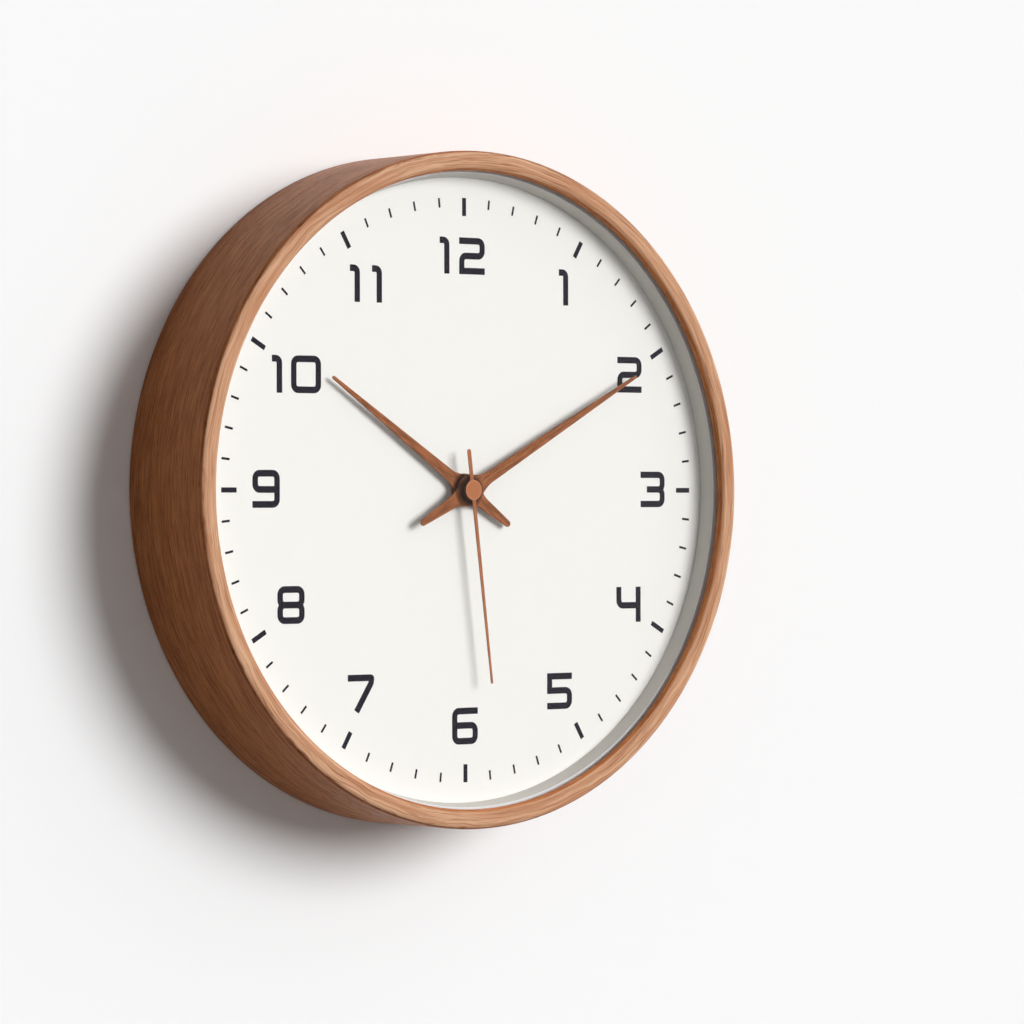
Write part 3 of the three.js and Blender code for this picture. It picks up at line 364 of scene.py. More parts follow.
class ClockSettings(bpy.types.PropertyGroup):
    """All settings of the clock"""

    case: PointerProperty(type=ClockCaseSizes)
    dial: PointerProperty(type=ClockDialSizes)
    hands: PointerProperty(type=ClockHandSizes)
    rear: PointerProperty(type=ClockRearSizes)
    colours: PointerProperty(type=ClockColours)
    studio: PointerProperty(type=ClockStudio)


def settings():
    return bpy.context.scene.wall_clock


# Node trees, written as expressions

def socket_of(sockets, key):
    """The socket with this index, or the first one in use with this name."""
    if isinstance(key, int):
        return sockets[key]
    for socket in sockets:
        if socket.name == key and socket.enabled:
            return socket
    raise KeyError(f"no socket {key!r} among {[socket.name for socket in sockets]}")


def arithmetic(operation, swapped=False):
    """A method that adds the Math node of an operation."""
    def apply(self, other):
        first, second = (other, self) if swapped else (self, other)
        return self.sheet.math(operation, first, second)
    return apply


class Wire:
    """One output of a node. Arithmetic on it adds the Math node that works out the result."""

    def __init__(self, sheet, socket):
        self.sheet = sheet
        self.socket = socket

    __add__ = arithmetic("ADD")
    __radd__ = arithmetic("ADD", True)
    __sub__ = arithmetic("SUBTRACT")
    __rsub__ = arithmetic("SUBTRACT", True)
    __mul__ = arithmetic("MULTIPLY")
    __rmul__ = arithmetic("MULTIPLY", True)
    __truediv__ = arithmetic("DIVIDE")
    __pow__ = arithmetic("POWER")
    __mod__ = arithmetic("FLOORED_MODULO")


class Sheet:
    """A node tree, for materials, the world and Geometry Nodes alike."""

    def __init__(self, tree):
        self.tree = tree

    def node(self, kind, choices=None, values=None):
        """Adds a node: first its choices, then the values or links of its sockets."""
        made = self.tree.nodes.new(kind)
        for name, choice in (choices or {}).items():
            setattr(made, name, choice)
        for key, value in (values or {}).items():
            socket = socket_of(made.inputs, key)
            if isinstance(value, Wire):
                self.tree.links.new(value.socket, socket)
            elif socket.type == "RGBA" and len(value) == 3:
                socket.default_value = (*value, 1.0)
            else:
                socket.default_value = value
        return made

    def wire(self, made, output=0):
        return Wire(self, socket_of(made.outputs, output))

    def get(self, kind, choices=None, values=None, output=0):
        """Adds a node and gives one of its outputs."""
        return self.wire(self.node(kind, choices, values), output)

    def math(self, operation, first, second=0.0):
        return self.get("ShaderNodeMath", {"operation": operation}, {0: first, 1: second})

    def arrange(self, x, y, z):
        return self.get("ShaderNodeCombineXYZ", {}, {"X": x, "Y": y, "Z": z})

    def parts(self, vector):
        made = self.node("ShaderNodeSeparateXYZ", {}, {0: vector})
        return self.wire(made, "X"), self.wire(made, "Y"), self.wire(made, "Z")

    def clear(self, start, end, value):
        """0 up to start and 1 from end on, smooth between them. Either may be the larger one."""
        made = self.node(
            "ShaderNodeMapRange", {"interpolation_type": "SMOOTHSTEP"},
            {"Value": value, "From Min": start, "From Max": end},
        )
        return self.wire(made, "Result")

    def between(self, amount, first, second):
        """A colour between two others."""
        made = self.node(
            "ShaderNodeMix", {"data_type": "RGBA"}, {"Factor": amount, "A": first, "B": second},
        )
        return self.wire(made, "Result")

    def place(self, angle=0.0):
        """Object coordinates, turned about the axis of the hands."""
        point = self.get("ShaderNodeTexCoord", {}, {}, "Object")
        if angle == 0.0:
            return point
        return self.get(
            "ShaderNodeMapping", {"vector_type": "TEXTURE"},
            {"Vector": point, "Rotation": (0.0, angle, 0.0)},
        )

    def noise(self, vector, scale, detail, roughness=0.5):
        return self.get(
            "ShaderNodeTexNoise", {},
            {"Vector": vector, "Scale": scale, "Detail": detail, "Roughness": roughness},
        )

    def grain(self, x, y, z, detail, roughness=0.5):
        """Noise in coordinates that were each scaled before."""
        return self.noise(self.arrange(x, y, z), 1.0, detail, roughness)

    def bump(self, height, distance, strength=1.0, normal=None):
        values = {"Height": height, "Distance": distance, "Strength": strength}
        if normal is not None:
            values["Normal"] = normal
        return self.get("ShaderNodeBump", {}, values, "Normal")

    def surface(self, **values):
        """The shader of a finish. Underscores stand for the spaces in the sockets' names."""
        named = {name.replace("_", " "): value for name, value in values.items()}
        return self.get("ShaderNodeBsdfPrincipled", {}, named)


def finish(name, paint):
    """The material with this name, painted when it is first asked for."""
    found = bpy.data.materials.get(name)
    if found:
        return found
    made = bpy.data.materials.new(name)
    made.use_nodes = True
    made.node_tree.nodes.clear()
    sheet = Sheet(made.node_tree)
    sheet.node("ShaderNodeOutputMaterial", {}, {"Surface": paint(sheet)})
    return made


# Finishes

def round_grain(sheet):
    """Coordinates that follow a bent board: the way from the axis to a point in x and z, its
    distance from the axis and its depth."""
    x, y, z = sheet.parts(sheet.place())
    radius = (x * x + z * z) ** 0.5
    return x / radius, z / radius, radius, y


def side_veneer(sheet, lines, across):
    """The colour of the drum's side, with its fine streaks and its pores."""
    colours = settings().colours
    line = across + lines(across, 3.0, 12.0, 2.0) * 0.003
    broad = lines(line, 4.0, 240.0, 3.0)
    fine = lines(line, 9.0, 1300.0, 3.0, 0.65)
    streak = sheet.clear(0.36, 0.64, broad * 0.25 + fine * 0.75)
    pores = sheet.clear(0.56, 0.68, lines(line, 34.0, 2300.0, 2.0))
    return sheet.between(streak, colours.veneer_dark, colours.veneer), streak, pores


def lip_veneer(sheet, lines, across):
    """The colour of the drum's front face, with its dark lines, which fade in and out."""
    colours = settings().colours
    line = across + lines(across, 5.0, 40.0, 2.0) * 0.0045
    bands = sheet.clear(0.34, 0.66, lines(line, 3.0, 620.0, 3.0, 0.6))
    ground = sheet.between(bands, colours.lip_dark, colours.lip)
    figure = sheet.clear(0.35, 0.6, lines(0.0, 1.1, 0.0, 1.0))
    dark_lines = sheet.clear(0.5, 0.64, lines(line, 6.0, 2000.0, 3.0, 0.65))
    dark_lines = dark_lines * (0.5 + figure * 0.5)
    return sheet.between(dark_lines * 0.7, ground, colours.lip_line), dark_lines


def veneer_paint(sheet):
    """Fine straight grain round the drum, a paler, coarser grain on its front face, and the
    darker seam between them."""
    front = layer("case_ring")[0]
    outer = reach("case_ring")
    around_x, around_z, radius, depth = round_grain(sheet)
    across = radius - depth

    def lines(bend, long_scale, wide_scale, detail, rough=0.5):
        """Noise drawn out round the drum."""
        return sheet.grain(
            around_x * long_scale, bend * wide_scale, around_z * long_scale, detail, rough,
        )

    side, streak, pores = side_veneer(sheet, lines, across)
    lip, lip_lines = lip_veneer(sheet, lines, across)
    facing = sheet.clear(front + 0.9 * MM, front + 0.5 * MM, depth)
    board = sheet.between(facing, side, lip)
    seam = sheet.clear(front + 0.4 * MM, front + 0.8 * MM, depth)
    seam = seam * sheet.clear(front + 2.2 * MM, front + 1.2 * MM, depth)
    seam = seam * sheet.clear(outer - 4.0 * MM, outer - 3.0 * MM, radius)
    shade = pores * 0.5 * (1.0 - facing) + seam * 0.6
    dark = sheet.get(
        "ShaderNodeMix", {"data_type": "RGBA", "blend_type": "MULTIPLY"},
        {"Factor": shade, "A": board, "B": (0.5, 0.4, 0.32)}, "Result",
    )
    height = streak * 0.4 - pores - lip_lines * facing
    return sheet.surface(
        Base_Color=dark,
        Roughness=0.42 + pores * 0.2 - streak * 0.06 + facing * 0.14,
        Specular_IOR_Level=0.12,
        Normal=sheet.bump(height, 0.06 * MM, 0.5),
    )


def plain_wood(sheet, rings, fibre, relief):
    """Pale bare wood with these rings and fibres."""
    colours = settings().colours
    grain = sheet.clear(0.32, 0.68, rings * 0.6 + fibre * 0.4)
    return sheet.surface(
        Base_Color=sheet.between(grain, colours.plain_wood_dark, colours.plain_wood),
        Roughness=0.78 - grain * 0.1,
        Specular_IOR_Level=0.25,
        Normal=sheet.bump(grain * 0.5 + fibre * 0.5, relief, 0.5),
    )


def hoop_paint(sheet):
    around_x, around_z, radius, depth = round_grain(sheet)
    across = radius - depth
    drift = sheet.grain(around_x * 4.0, across * 30.0, around_z * 4.0, 2.0)
    line = across + drift * 0.004
    rings = sheet.grain(around_x * 4.0, line * 420.0, around_z * 4.0, 3.0)
    fibre = sheet.grain(around_x * 30.0, line * 2400.0, around_z * 30.0, 3.0)
    return plain_wood(sheet, rings, fibre, 0.12 * MM)


def block_paint(sheet):
    x, y, z = sheet.parts(sheet.place())
    drift = sheet.grain(x * 12.0, y * 40.0, z * 40.0, 2.0)
    rings = sheet.grain(x * 14.0, y * 260.0 + drift * 3.0, z * 420.0 + drift * 5.0, 3.0)
    fibre = sheet.grain(x * 160.0, y * 2600.0, z * 2600.0, 3.0)
    return plain_wood(sheet, rings, fibre, 0.15 * MM)


def board_paint(sheet):
    colours = settings().colours
    point = sheet.place()
    fibre = sheet.noise(point, 900.0, 5.0, 0.7)
    cloud = sheet.noise(point, 60.0, 3.0, 0.6)
    fleck = sheet.clear(0.6, 0.7, sheet.noise(point, 2300.0, 2.0, 0.5))
    tone = sheet.clear(0.3, 0.7, fibre * 0.7 + cloud * 0.3)
    base = colours.board
    deep = scaled(base, 0.62)
    ground = sheet.between(tone, deep, base)
    return sheet.surface(
        Base_Color=sheet.between(fleck * 0.5, ground, scaled(base, 0.4)),
        Roughness=0.86 - tone * 0.08,
        Specular_IOR_Level=0.2,
        Normal=sheet.bump(fibre, 0.2 * MM, 0.5),
    )


def lens_paint(sheet):
    ripple = sheet.noise(sheet.place(), 9.0, 1.0)
    mirror = sheet.get(
        "ShaderNodeBsdfGlossy", {},
        {"Color": (0.98, 0.99, 1.0), "Roughness": 0.03, "Normal": sheet.bump(ripple, 0.2 * MM, 0.2)},
    )
    through = sheet.get("ShaderNodeBsdfTransparent", {}, {"Color": (0.998, 0.998, 0.998)})
    edge_on = sheet.get("ShaderNodeFresnel", {}, {"IOR": 1.45})
    return sheet.get("ShaderNodeMixShader", {}, {0: edge_on * 0.12, 1: through, 2: mirror})


def spacer_paint(sheet):
    base = settings().colours.spacer
    depth = sheet.parts(sheet.place())[1]
    back, front = layer("dial_card")[0], layer("spacer_ring")[0]
    tooth = sheet.noise(sheet.place(), 2600.0, 3.0, 0.6)
    cloud = sheet.noise(sheet.place(), 40.0, 2.0)
    # The front ledge is painted paler and cooler than the spacer: partly its own tone, partly painted
    # light that lifts it out of the lip's shade
    pale_lit_ledge = (0.84, 0.845, 0.85)
    strip = sheet.clear(front + 0.3 * MM, front + 0.1 * MM, depth)
    ground = sheet.between(strip, base, pale_lit_ledge)
    # Clouded, and a little darker over the last 0.9 mm towards the dial
    dial_end_darkening = sheet.clear(back - 0.9 * MM, back, depth) * 0.12
    clouded = sheet.between(cloud * 0.12 + dial_end_darkening, ground, scaled(base, 0.8))
    return sheet.surface(
        Base_Color=clouded,
        Roughness=0.55 + tooth * 0.15,
        Specular_IOR_Level=0.3,
        Normal=sheet.bump(tooth, 0.03 * MM, 0.4),
    )


def paper_paint(sheet):
    base = settings().colours.paper
    point = sheet.place()
    tooth = sheet.noise(point, 3200.0, 4.0, 0.65)
    cloud = sheet.noise(point, 22.0, 3.0)
    warm = scaled(base, 0.99, 0.982, 0.965)
    return sheet.surface(
        Base_Color=sheet.between(tooth * 0.3 + cloud * 0.3, base, warm),
        Roughness=0.62 + tooth * 0.14,
        Specular_IOR_Level=0.25,
        Normal=sheet.bump(tooth, 0.02 * MM, 0.35),
    )


def ink_paint(sheet):
    base = settings().colours.print_ink
    tooth = sheet.noise(sheet.place(), 4200.0, 3.0, 0.6)
    thin = tuple(part * 1.7 + 0.003 for part in base)
    return sheet.surface(
        Base_Color=sheet.between(sheet.clear(0.45, 0.75, tooth) * 0.5, base, thin),
        Roughness=0.55 + tooth * 0.2,
        Specular_IOR_Level=0.08,
        Normal=sheet.bump(tooth, 0.01 * MM, 0.4),
    )


def hand_paint(angle, front, hub_shade):
    """Wood-toned paint whose fine streaks run along a hand that stands at this angle. Its sides
    carry painted shade, and round the hole it darkens with painted shade out to this radius, over
    a dome with turned rings in the bump."""
    def paint(sheet):
        base = settings().colours.hand
        dark = scaled(base, 0.52)
        x, y, z = sheet.parts(sheet.place(angle))
        drift = sheet.grain(x * 60.0, y * 60.0, z * 12.0, 2.0)
        grain = sheet.grain(x * 800.0 + drift * 3.0, y * 400.0, z * 80.0, 4.0, 0.65)
        speck = sheet.grain(x * 3600.0, y * 900.0, z * 420.0, 2.0)
        streak = sheet.clear(0.41, 0.59, grain)
        specks = sheet.clear(0.6, 0.72, speck)
        tone = sheet.between(streak, dark, base)
        grained = sheet.between(specks * 0.5, tone, scaled(base, 0.5))
        radius = (x * x + z * z) ** 0.5
        # Painted shade round the hole: the colour darkens towards the dark tone below, out to the
        # given radius
        painted_hub_shade = sheet.clear(hub_shade + 1.3 * MM, hub_shade - 0.9 * MM, radius)
        # Painted shade on the hand's sides, behind its front face
        rim = sheet.clear(front + 0.06 * MM, front + 0.2 * MM, y)
        deep = scaled(base, 0.13)
        dome = sheet.clear(9.4 * MM, 3.2 * MM, radius)
        rings = sheet.math("SINE", radius * (FULL_TURN / (1.1 * MM))) * painted_hub_shade
        raised = sheet.bump(dome + rings * 0.01, 6.0 * MM, 1.0)
        return sheet.surface(
            Base_Color=sheet.between(painted_hub_shade * 0.92 + rim * 0.6 * (1.0 - painted_hub_shade), grained, deep),
            Roughness=0.46 + streak * 0.08 + specks * 0.15 + painted_hub_shade * 0.12,
            Specular_IOR_Level=0.14,
            Normal=sheet.bump(streak * 0.5 - specks, 0.02 * MM, 0.5, raised),
        )
    return paint


def copper_paint(angle, front):
    """Copper-toned satin metal, brushed along a hand that stands at this angle. Its sides carry
    painted shade.
    """
    def paint(sheet):
        base = settings().colours.copper
        x, y, z = sheet.parts(sheet.place(angle))
        brushed = sheet.grain(x * 2200.0, y * 800.0, z * 90.0, 3.0, 0.6)
        cloud = sheet.grain(x * 200.0, y * 200.0, z * 200.0, 2.0)
        deep = scaled(base, 0.62, 0.5, 0.42)
        satin = sheet.between(sheet.clear(0.35, 0.65, brushed) * 0.8 + cloud * 0.3, base, deep)
        # Painted shade on the blade's sides, behind its front face
        side = sheet.clear(front + 0.04 * MM, front + 0.12 * MM, y)
        return sheet.surface(
            Base_Color=sheet.between(side * 0.8, satin, scaled(base, 0.2)),
            Metallic=0.35,
            Roughness=0.38 + brushed * 0.12,
            Specular_IOR_Level=0.4,
            Normal=sheet.bump(brushed, 0.01 * MM, 0.4),
        )
    return paint


def cap_paint(sheet):
    """The cap's face is turned, with a painted highlight near its rim. The bush behind the second hand
    carries painted shade.
    """
    base = settings().colours.copper
    around_x, around_z, radius, depth = round_grain(sheet)
    lines = sheet.grain(around_x * 2.0, radius * 9000.0 + depth * 4000.0, around_z * 2.0, 2.0)
    cloud = sheet.noise(sheet.place(), 300.0, 2.0)
    deep = scaled(base, 0.82, 0.7, 0.62)
    blade = layer("second_hand")
    # Painted shade on the bush behind the blade: nearly black and not metallic
    rear = sheet.clear(blade[0] - 0.1 * MM, blade[0], depth)
    face = sheet.between(lines * 0.5 + cloud * 0.3, base, deep)
    # Painted highlight: a paler ring near the cap's rim and on its side
    rim = sheet.clear(0.84 * reach("second_hand_cap"), 0.94 * reach("second_hand_cap"), radius)
    pale = tuple(min(1.0, part * 1.25 + 0.02) for part in base)
    highlighted = sheet.between(rim * 0.7, face, pale)
    return sheet.surface(
        Base_Color=sheet.between(rear, highlighted, scaled(base, 0.12)),
        Metallic=0.35 * (1.0 - rear),
        Roughness=0.36 + lines * 0.12,
        Specular_IOR_Level=0.4,
        Normal=sheet.bump(lines, 0.01 * MM, 0.4),
    )


def metal_paint(base, rough, scale):
    """Plated metal with faint clouds and fine scratches."""
    def paint(sheet):
        point = sheet.place()
        x, y, z = sheet.parts(point)
        cloud = sheet.noise(point, scale * 0.15, 3.0, 0.6)
        grit = sheet.noise(point, scale * 4.0, 3.0, 0.6)
        scratch = sheet.grain(x * scale * 0.4, y * scale * 3.0, z * scale * 7.0, 2.0, 0.7)
        dull = scaled(base, 0.7)
        marks = sheet.clear(0.58, 0.75, scratch)
        return sheet.surface(
            Base_Color=sheet.between(cloud * 0.5 + marks * 0.4, base, dull),
            Metallic=1.0,
            Roughness=rough + cloud * 0.18 + marks * 0.12,
            Normal=sheet.bump(grit * 0.5 - marks, 0.02 * MM, 0.4),
        )
    return paint


def moulded_paint(base, rough, texture, tooth_height=0.05 * MM):
    """Moulded plastic with a fine spark texture and slight flow marks."""
    def paint(sheet):
        point = sheet.place()
        tooth = sheet.noise(point, texture, 3.0, 0.6)
        flow = sheet.noise(point, texture * 0.03, 3.0, 0.5)
        pale = tuple(part * 1.25 + 0.004 for part in base)
        deep = scaled(base, 0.85)
        return sheet.surface(
            Base_Color=sheet.between(flow * 0.6 + tooth * 0.4, deep, pale),
            Roughness=rough + tooth * 0.16,
            Specular_IOR_Level=0.42,
            Normal=sheet.bump(tooth, tooth_height, 0.6),
        )
    return paint


def rubber_paint(sheet):
    point = sheet.place()
    tooth = sheet.noise(point, 2200.0, 4.0, 0.7)
    bloom = sheet.noise(point, 160.0, 3.0)
    return sheet.surface(
        Base_Color=sheet.between(bloom * 0.6, (0.012, 0.012, 0.012), (0.032, 0.031, 0.03)),
        Roughness=0.8 + tooth * 0.12,
        Specular_IOR_Level=0.3,
        Normal=sheet.bump(tooth, 0.1 * MM, 0.6),
    )


def magnet_paint(sheet):
    point = sheet.place()
    grit = sheet.noise(point, 5200.0, 4.0, 0.7)
    cloud = sheet.noise(point, 700.0, 2.0)
    return sheet.surface(
        Base_Color=sheet.between(grit * 0.6 + cloud * 0.4, (0.03, 0.031, 0.034), (0.11, 0.11, 0.115)),
        Metallic=0.6,
        Roughness=0.48 + grit * 0.2,
        Normal=sheet.bump(grit, 0.04 * MM, 0.6),
    )


def winding_paint(sheet):
    """Enamelled wire, wound side by side along the coil."""
    x, y, z = sheet.parts(sheet.place())
    wire_pitch = 0.22 * MM
    phase = sheet.math("SINE", (x + (y + z) * 0.02) * (FULL_TURN / wire_pitch))
    ridge = phase * 0.5 + 0.5
    cloud = sheet.noise(sheet.place(), 900.0, 2.0)
    return sheet.surface(
        # Painted shade: the colour darkens in the grooves between the turns, where the bump sinks too
        Base_Color=sheet.between(ridge * 0.7 + cloud * 0.2, (0.16, 0.05, 0.018), (0.55, 0.21, 0.08)),
        Metallic=0.85,
        Roughness=0.3 + cloud * 0.15,
        Normal=sheet.bump(ridge, 0.08 * MM, 0.8),
    )


def circuit_paint(sheet):
    """Green solder mask over straight traces, with bare pads."""
    x, _, z = sheet.parts(sheet.place())
    cell_x = sheet.math("ROUND", x * 900.0)
    cell_z = sheet.math("ROUND", z * 900.0)
    lane = sheet.get(
        "ShaderNodeTexWhiteNoise", {"noise_dimensions": "2D"},
        {"Vector": sheet.arrange(cell_x, cell_z * 0.2, 0.0)}, "Value",
    )
    tracks = sheet.clear(0.55, 0.6, lane)
    weave = sheet.noise(sheet.place(), 3000.0, 2.0)
    mask = sheet.between(tracks, (0.01, 0.08, 0.03), (0.02, 0.16, 0.06))
    return sheet.surface(
        Base_Color=sheet.between(weave * 0.2, mask, (0.03, 0.1, 0.04)),
        Roughness=0.34 + weave * 0.12,
        Normal=sheet.bump(tracks + weave * 0.2, 0.03 * MM, 0.6),
    )


def sleeve_paint(sheet):
    """A plain printed sleeve: one dark ground, a pale band at the positive end, fine seams."""
    colours = settings().colours
    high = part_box("battery")[1]
    centre = middle("battery")
    x, y, z = sheet.parts(sheet.place())
    band = sheet.clear(high.x - SLEEVE_BAND, high.x - SLEEVE_BAND + 0.1 * MM, x)
    rule = sheet.clear(0.35 * MM, 0.3 * MM, sheet.math("ABSOLUTE", x - (high.x - SLEEVE_RULE)))
    ground = sheet.between(band, colours.sleeve, colours.band)
    ruled = sheet.between(rule, ground, colours.band)
    seam = sheet.clear(0.35 * MM, 0.1 * MM, sheet.math("ABSOLUTE", z - centre.z))
    seam = seam * sheet.clear(0.0, 2.0 * MM, y - centre.y)
    film = sheet.noise(sheet.place(), 260.0, 3.0)
    return sheet.surface(
        Base_Color=sheet.between(seam * 0.5, ruled, (0.02, 0.02, 0.025)),
        Metallic=0.25,
        Roughness=0.27 + film * 0.14,
        Normal=sheet.bump(film * 0.4 - seam, 0.05 * MM, 0.3),
    )


def shared_finish(kind):
    """The finishes that more than one piece takes."""
    colours = settings().colours
    paints = {
        "steel": metal_paint(colours.steel, 0.26, 900.0),
        "brass": metal_paint(colours.brass, 0.22, 1200.0),
        "moulded": moulded_paint(colours.moulded, 0.42, 2400.0),
        "wheel": moulded_paint(colours.wheel, 0.38, 3200.0, 0.02 * MM),
        "chip": moulded_paint((0.012, 0.012, 0.013), 0.3, 1500.0, 0.03 * MM),
        "rubber": rubber_paint,
        "magnet": magnet_paint,
        "winding": winding_paint,
        "circuit": circuit_paint,
        "board": board_paint,
        "hoop": hoop_paint,
        "block": block_paint,
    }
    return finish(f"clock {kind}", paints[kind])


# Meshes

def new_object(name, data):
    """A new object in the scene."""
    made = bpy.data.objects.new(name, data)
    bpy.context.scene.collection.objects.link(made)
    return made


def new_piece(name, mesh, material):
    """A new object in the scene with one material."""
    mesh.name = name
    mesh.materials.clear()
    mesh.materials.append(material)
    return new_object(name, mesh)


def seat(name, mesh, material, body, slot, *nodes):
    """Adds a finished piece and puts it on its body, in place of its nodes."""
    made = new_piece(name, mesh, material)
    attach(made, body)
    if nodes:
        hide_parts(*nodes)


def from_sheet(work, mesh):
    """Puts the faces of a bmesh in a mesh, with their normals outward."""
    bmesh.ops.recalc_face_normals(work, faces=work.faces)
    work.to_mesh(mesh)
    work.free()
    return mesh


def smooth(mesh, angle=SHARP_ANGLE):
    mesh.shade_smooth()
    mesh.set_sharp_from_angle(angle=angle)
    return mesh


def even_faces(mesh):
    """Lets large flat faces stay flat beside their rounded edges."""
    made = new_object("work", mesh)
    weighted = made.modifiers.new("weighted", "WEIGHTED_NORMAL")
    weighted.weight = 100
    weighted.keep_sharp = True
    return evaluated_mesh(made)


def evaluated_mesh(made):
    """A plain mesh of an object with its modifiers. The object itself is removed."""
    graph = bpy.context.evaluated_depsgraph_get()
    mesh = bpy.data.meshes.new_from_object(made.evaluated_get(graph), depsgraph=graph)
    bpy.data.objects.remove(made)
    return mesh


def input_of(tree, name):
    """The identifier of a tree's named input."""
    for item in tree.interface.items_tree:
        if item.item_type == "SOCKET" and item.in_out == "INPUT" and item.name == name:
            return item.identifier
    raise KeyError(name)


def run_tree(tree, mesh, material, **values):
    """Runs a Geometry Nodes tree on a mesh and gives the plain mesh that it makes."""
    made = new_object("work", mesh)
    modifier = made.modifiers.new("tree", "NODES")
    modifier.node_group = tree
    for name, value in values.items():
        modifier[input_of(tree, name.replace("_", " "))] = value
    modifier[input_of(tree, "Material")] = material
    result = evaluated_mesh(made)
    result.materials.clear()
    result.materials.append(material)
    for face in result.polygons:
        face.material_index = 0
    return result


def new_tree(name, inputs):
    """An empty Geometry Nodes tree with a geometry, these inputs and a material."""
    tree = bpy.data.node_groups.new(name, "GeometryNodeTree")
    tree.is_modifier = True
    face = tree.interface
    face.new_socket("Geometry", in_out="INPUT", socket_type="NodeSocketGeometry")
    for label, kind, default in inputs:
        socket = face.new_socket(label, in_out="INPUT", socket_type=f"NodeSocket{kind}")
        if default is not None:
            socket.default_value = default
    face.new_socket("Material", in_out="INPUT", socket_type="NodeSocketMaterial")
    face.new_socket("Geometry", in_out="OUTPUT", socket_type="NodeSocketGeometry")
    sheet = Sheet(tree)
    given = sheet.node("NodeGroupInput")
    return tree, sheet, {socket.name: Wire(sheet, socket) for socket in given.outputs if socket.name}


def close_tree(sheet, given, geometry):
    """Ends a tree: instances become real, and the faces take the material."""
    real = sheet.get("GeometryNodeRealizeInstances", {}, {"Geometry": geometry})
    painted = sheet.get(
        "GeometryNodeSetMaterial", {}, {"Geometry": real, "Material": given["Material"]},
    )
    sheet.node("NodeGroupOutput", {}, {0: painted})


def turned_tree():
    """Turns a profile about the Y axis. Each of its points has a radius in x, a depth in y and a
    rounding, and the profile either closes on itself or starts and ends on the axis."""
    found = bpy.data.node_groups.get("Turned ring")
    if found:
        return found
    tree, sheet, given = new_tree("Turned ring", (
        ("Steps", "Int", 128), ("Corner Steps", "Int", 5), ("Closed", "Int", 1),
    ))
    curve = sheet.get("GeometryNodeMeshToCurve", {}, {0: given["Geometry"]})
    rounding = sheet.get(
        "GeometryNodeInputNamedAttribute", {"data_type": "FLOAT"}, {"Name": "rounding"}, "Attribute",
    )
    rounded = sheet.get(
        "GeometryNodeFilletCurve", {"mode": "POLY"},
        {"Curve": curve, "Count": given["Corner Steps"], "Radius": rounding, "Limit Radius": True},
    )
    profile = sheet.get("GeometryNodeCurveToMesh", {}, {0: rounded})
    domain = sheet.node("GeometryNodeAttributeDomainSize", {"component": "MESH"}, {0: profile})
    points = sheet.wire(domain, "Point Count")
    rows = points + given["Closed"]
    columns = given["Steps"] + 1
    grid = sheet.get(
        "GeometryNodeMeshGrid", {},
        {"Size X": 1.0, "Size Y": 1.0, "Vertices X": columns, "Vertices Y": rows}, "Mesh",
    )
    index = sheet.get("GeometryNodeInputIndex")
    row = index % rows
    column = sheet.math("FLOOR", (index + 0.5) / rows)
    place = sheet.get("GeometryNodeInputPosition")
    sample = sheet.node(
        "GeometryNodeSampleIndex", {"data_type": "FLOAT_VECTOR", "domain": "POINT"},
        {"Geometry": profile, "Value": place, "Index": row % points},
    )
    radius, depth, _ = sheet.parts(sheet.wire(sample, "Value"))
    angle = column * FULL_TURN / given["Steps"]
    turned = sheet.arrange(
        radius * sheet.math("SINE", angle), depth, radius * sheet.math("COSINE", angle),
    )
    moved = sheet.get("GeometryNodeSetPosition", {}, {"Geometry": grid, "Position": turned})
    merged = sheet.get(
        "GeometryNodeMergeByDistance", {}, {"Geometry": moved, "Distance": SAME_PLACE},
    )
    close_tree(sheet, given, merged)
    return tree


def turned_mesh(name, profile, material, steps, corner_steps, closed=True):
    """Runs the turning tree on a list of (radius, depth, rounding)."""
    mesh = bpy.data.meshes.new(name)
    points = [(radius, depth, 0.0) for radius, depth, _ in profile]
    edges = [(i, i + 1) for i in range(len(points) - 1)]
    if closed:
        edges.append((len(points) - 1, 0))
    mesh.from_pydata(points, edges, [])
    roundings = mesh.attributes.new("rounding", "FLOAT", "POINT")
    roundings.data.foreach_set("value", [rounding for _, _, rounding in profile])
    result = run_tree(
        turned_tree(), mesh, material, Steps=steps, Corner_Steps=corner_steps, Closed=int(closed),
    )
    work = bmesh.new()
    work.from_mesh(result)
    bmesh.ops.remove_doubles(work, verts=work.verts, dist=SAME_POINT)
    bmesh.ops.dissolve_degenerate(work, edges=work.edges, dist=SAME_POINT)
    return even_faces(smooth(from_sheet(work, result)))


def flat_region(solids, holes=()):
    """Corner points and faces of the area that any of the outlines covers, less the holes."""
    points = []
    faces = []
    for outline in (*solids, *holes):
        start = len(points)
        points.extend(Vector(point) for point in outline)
        faces.append(list(range(start, start + len(outline))))
    solid_count = len(solids)
    places, _, cells, _, _, of_cells = delaunay_2d_cdt(points, [], faces, 1, OUTLINE_PRECISION)
    kept = []
    for cell, sources in zip(cells, of_cells):
        inside = any(source < solid_count for source in sources)
        in_hole = any(source >= solid_count for source in sources)
        if inside and not in_hole:
            kept.append(cell)
    return places, kept


def join_flats(work):
    """Joins the faces that lie in one plane."""
    bmesh.ops.dissolve_limit(
        work, angle_limit=FLAT_ANGLE, verts=work.verts, edges=work.edges,
    )


def round_edges(work, edge, angle):
    """Rounds the edges that are sharper than an angle in degrees."""
    rims = [
        e for e in work.edges
        if len(e.link_faces) == 2 and e.calc_face_angle() > math.radians(angle)
    ]
    bmesh.ops.bevel(
        work, geom=rims, offset=edge, segments=2, profile=0.5, affect="EDGES", clamp_overlap=True,
    )


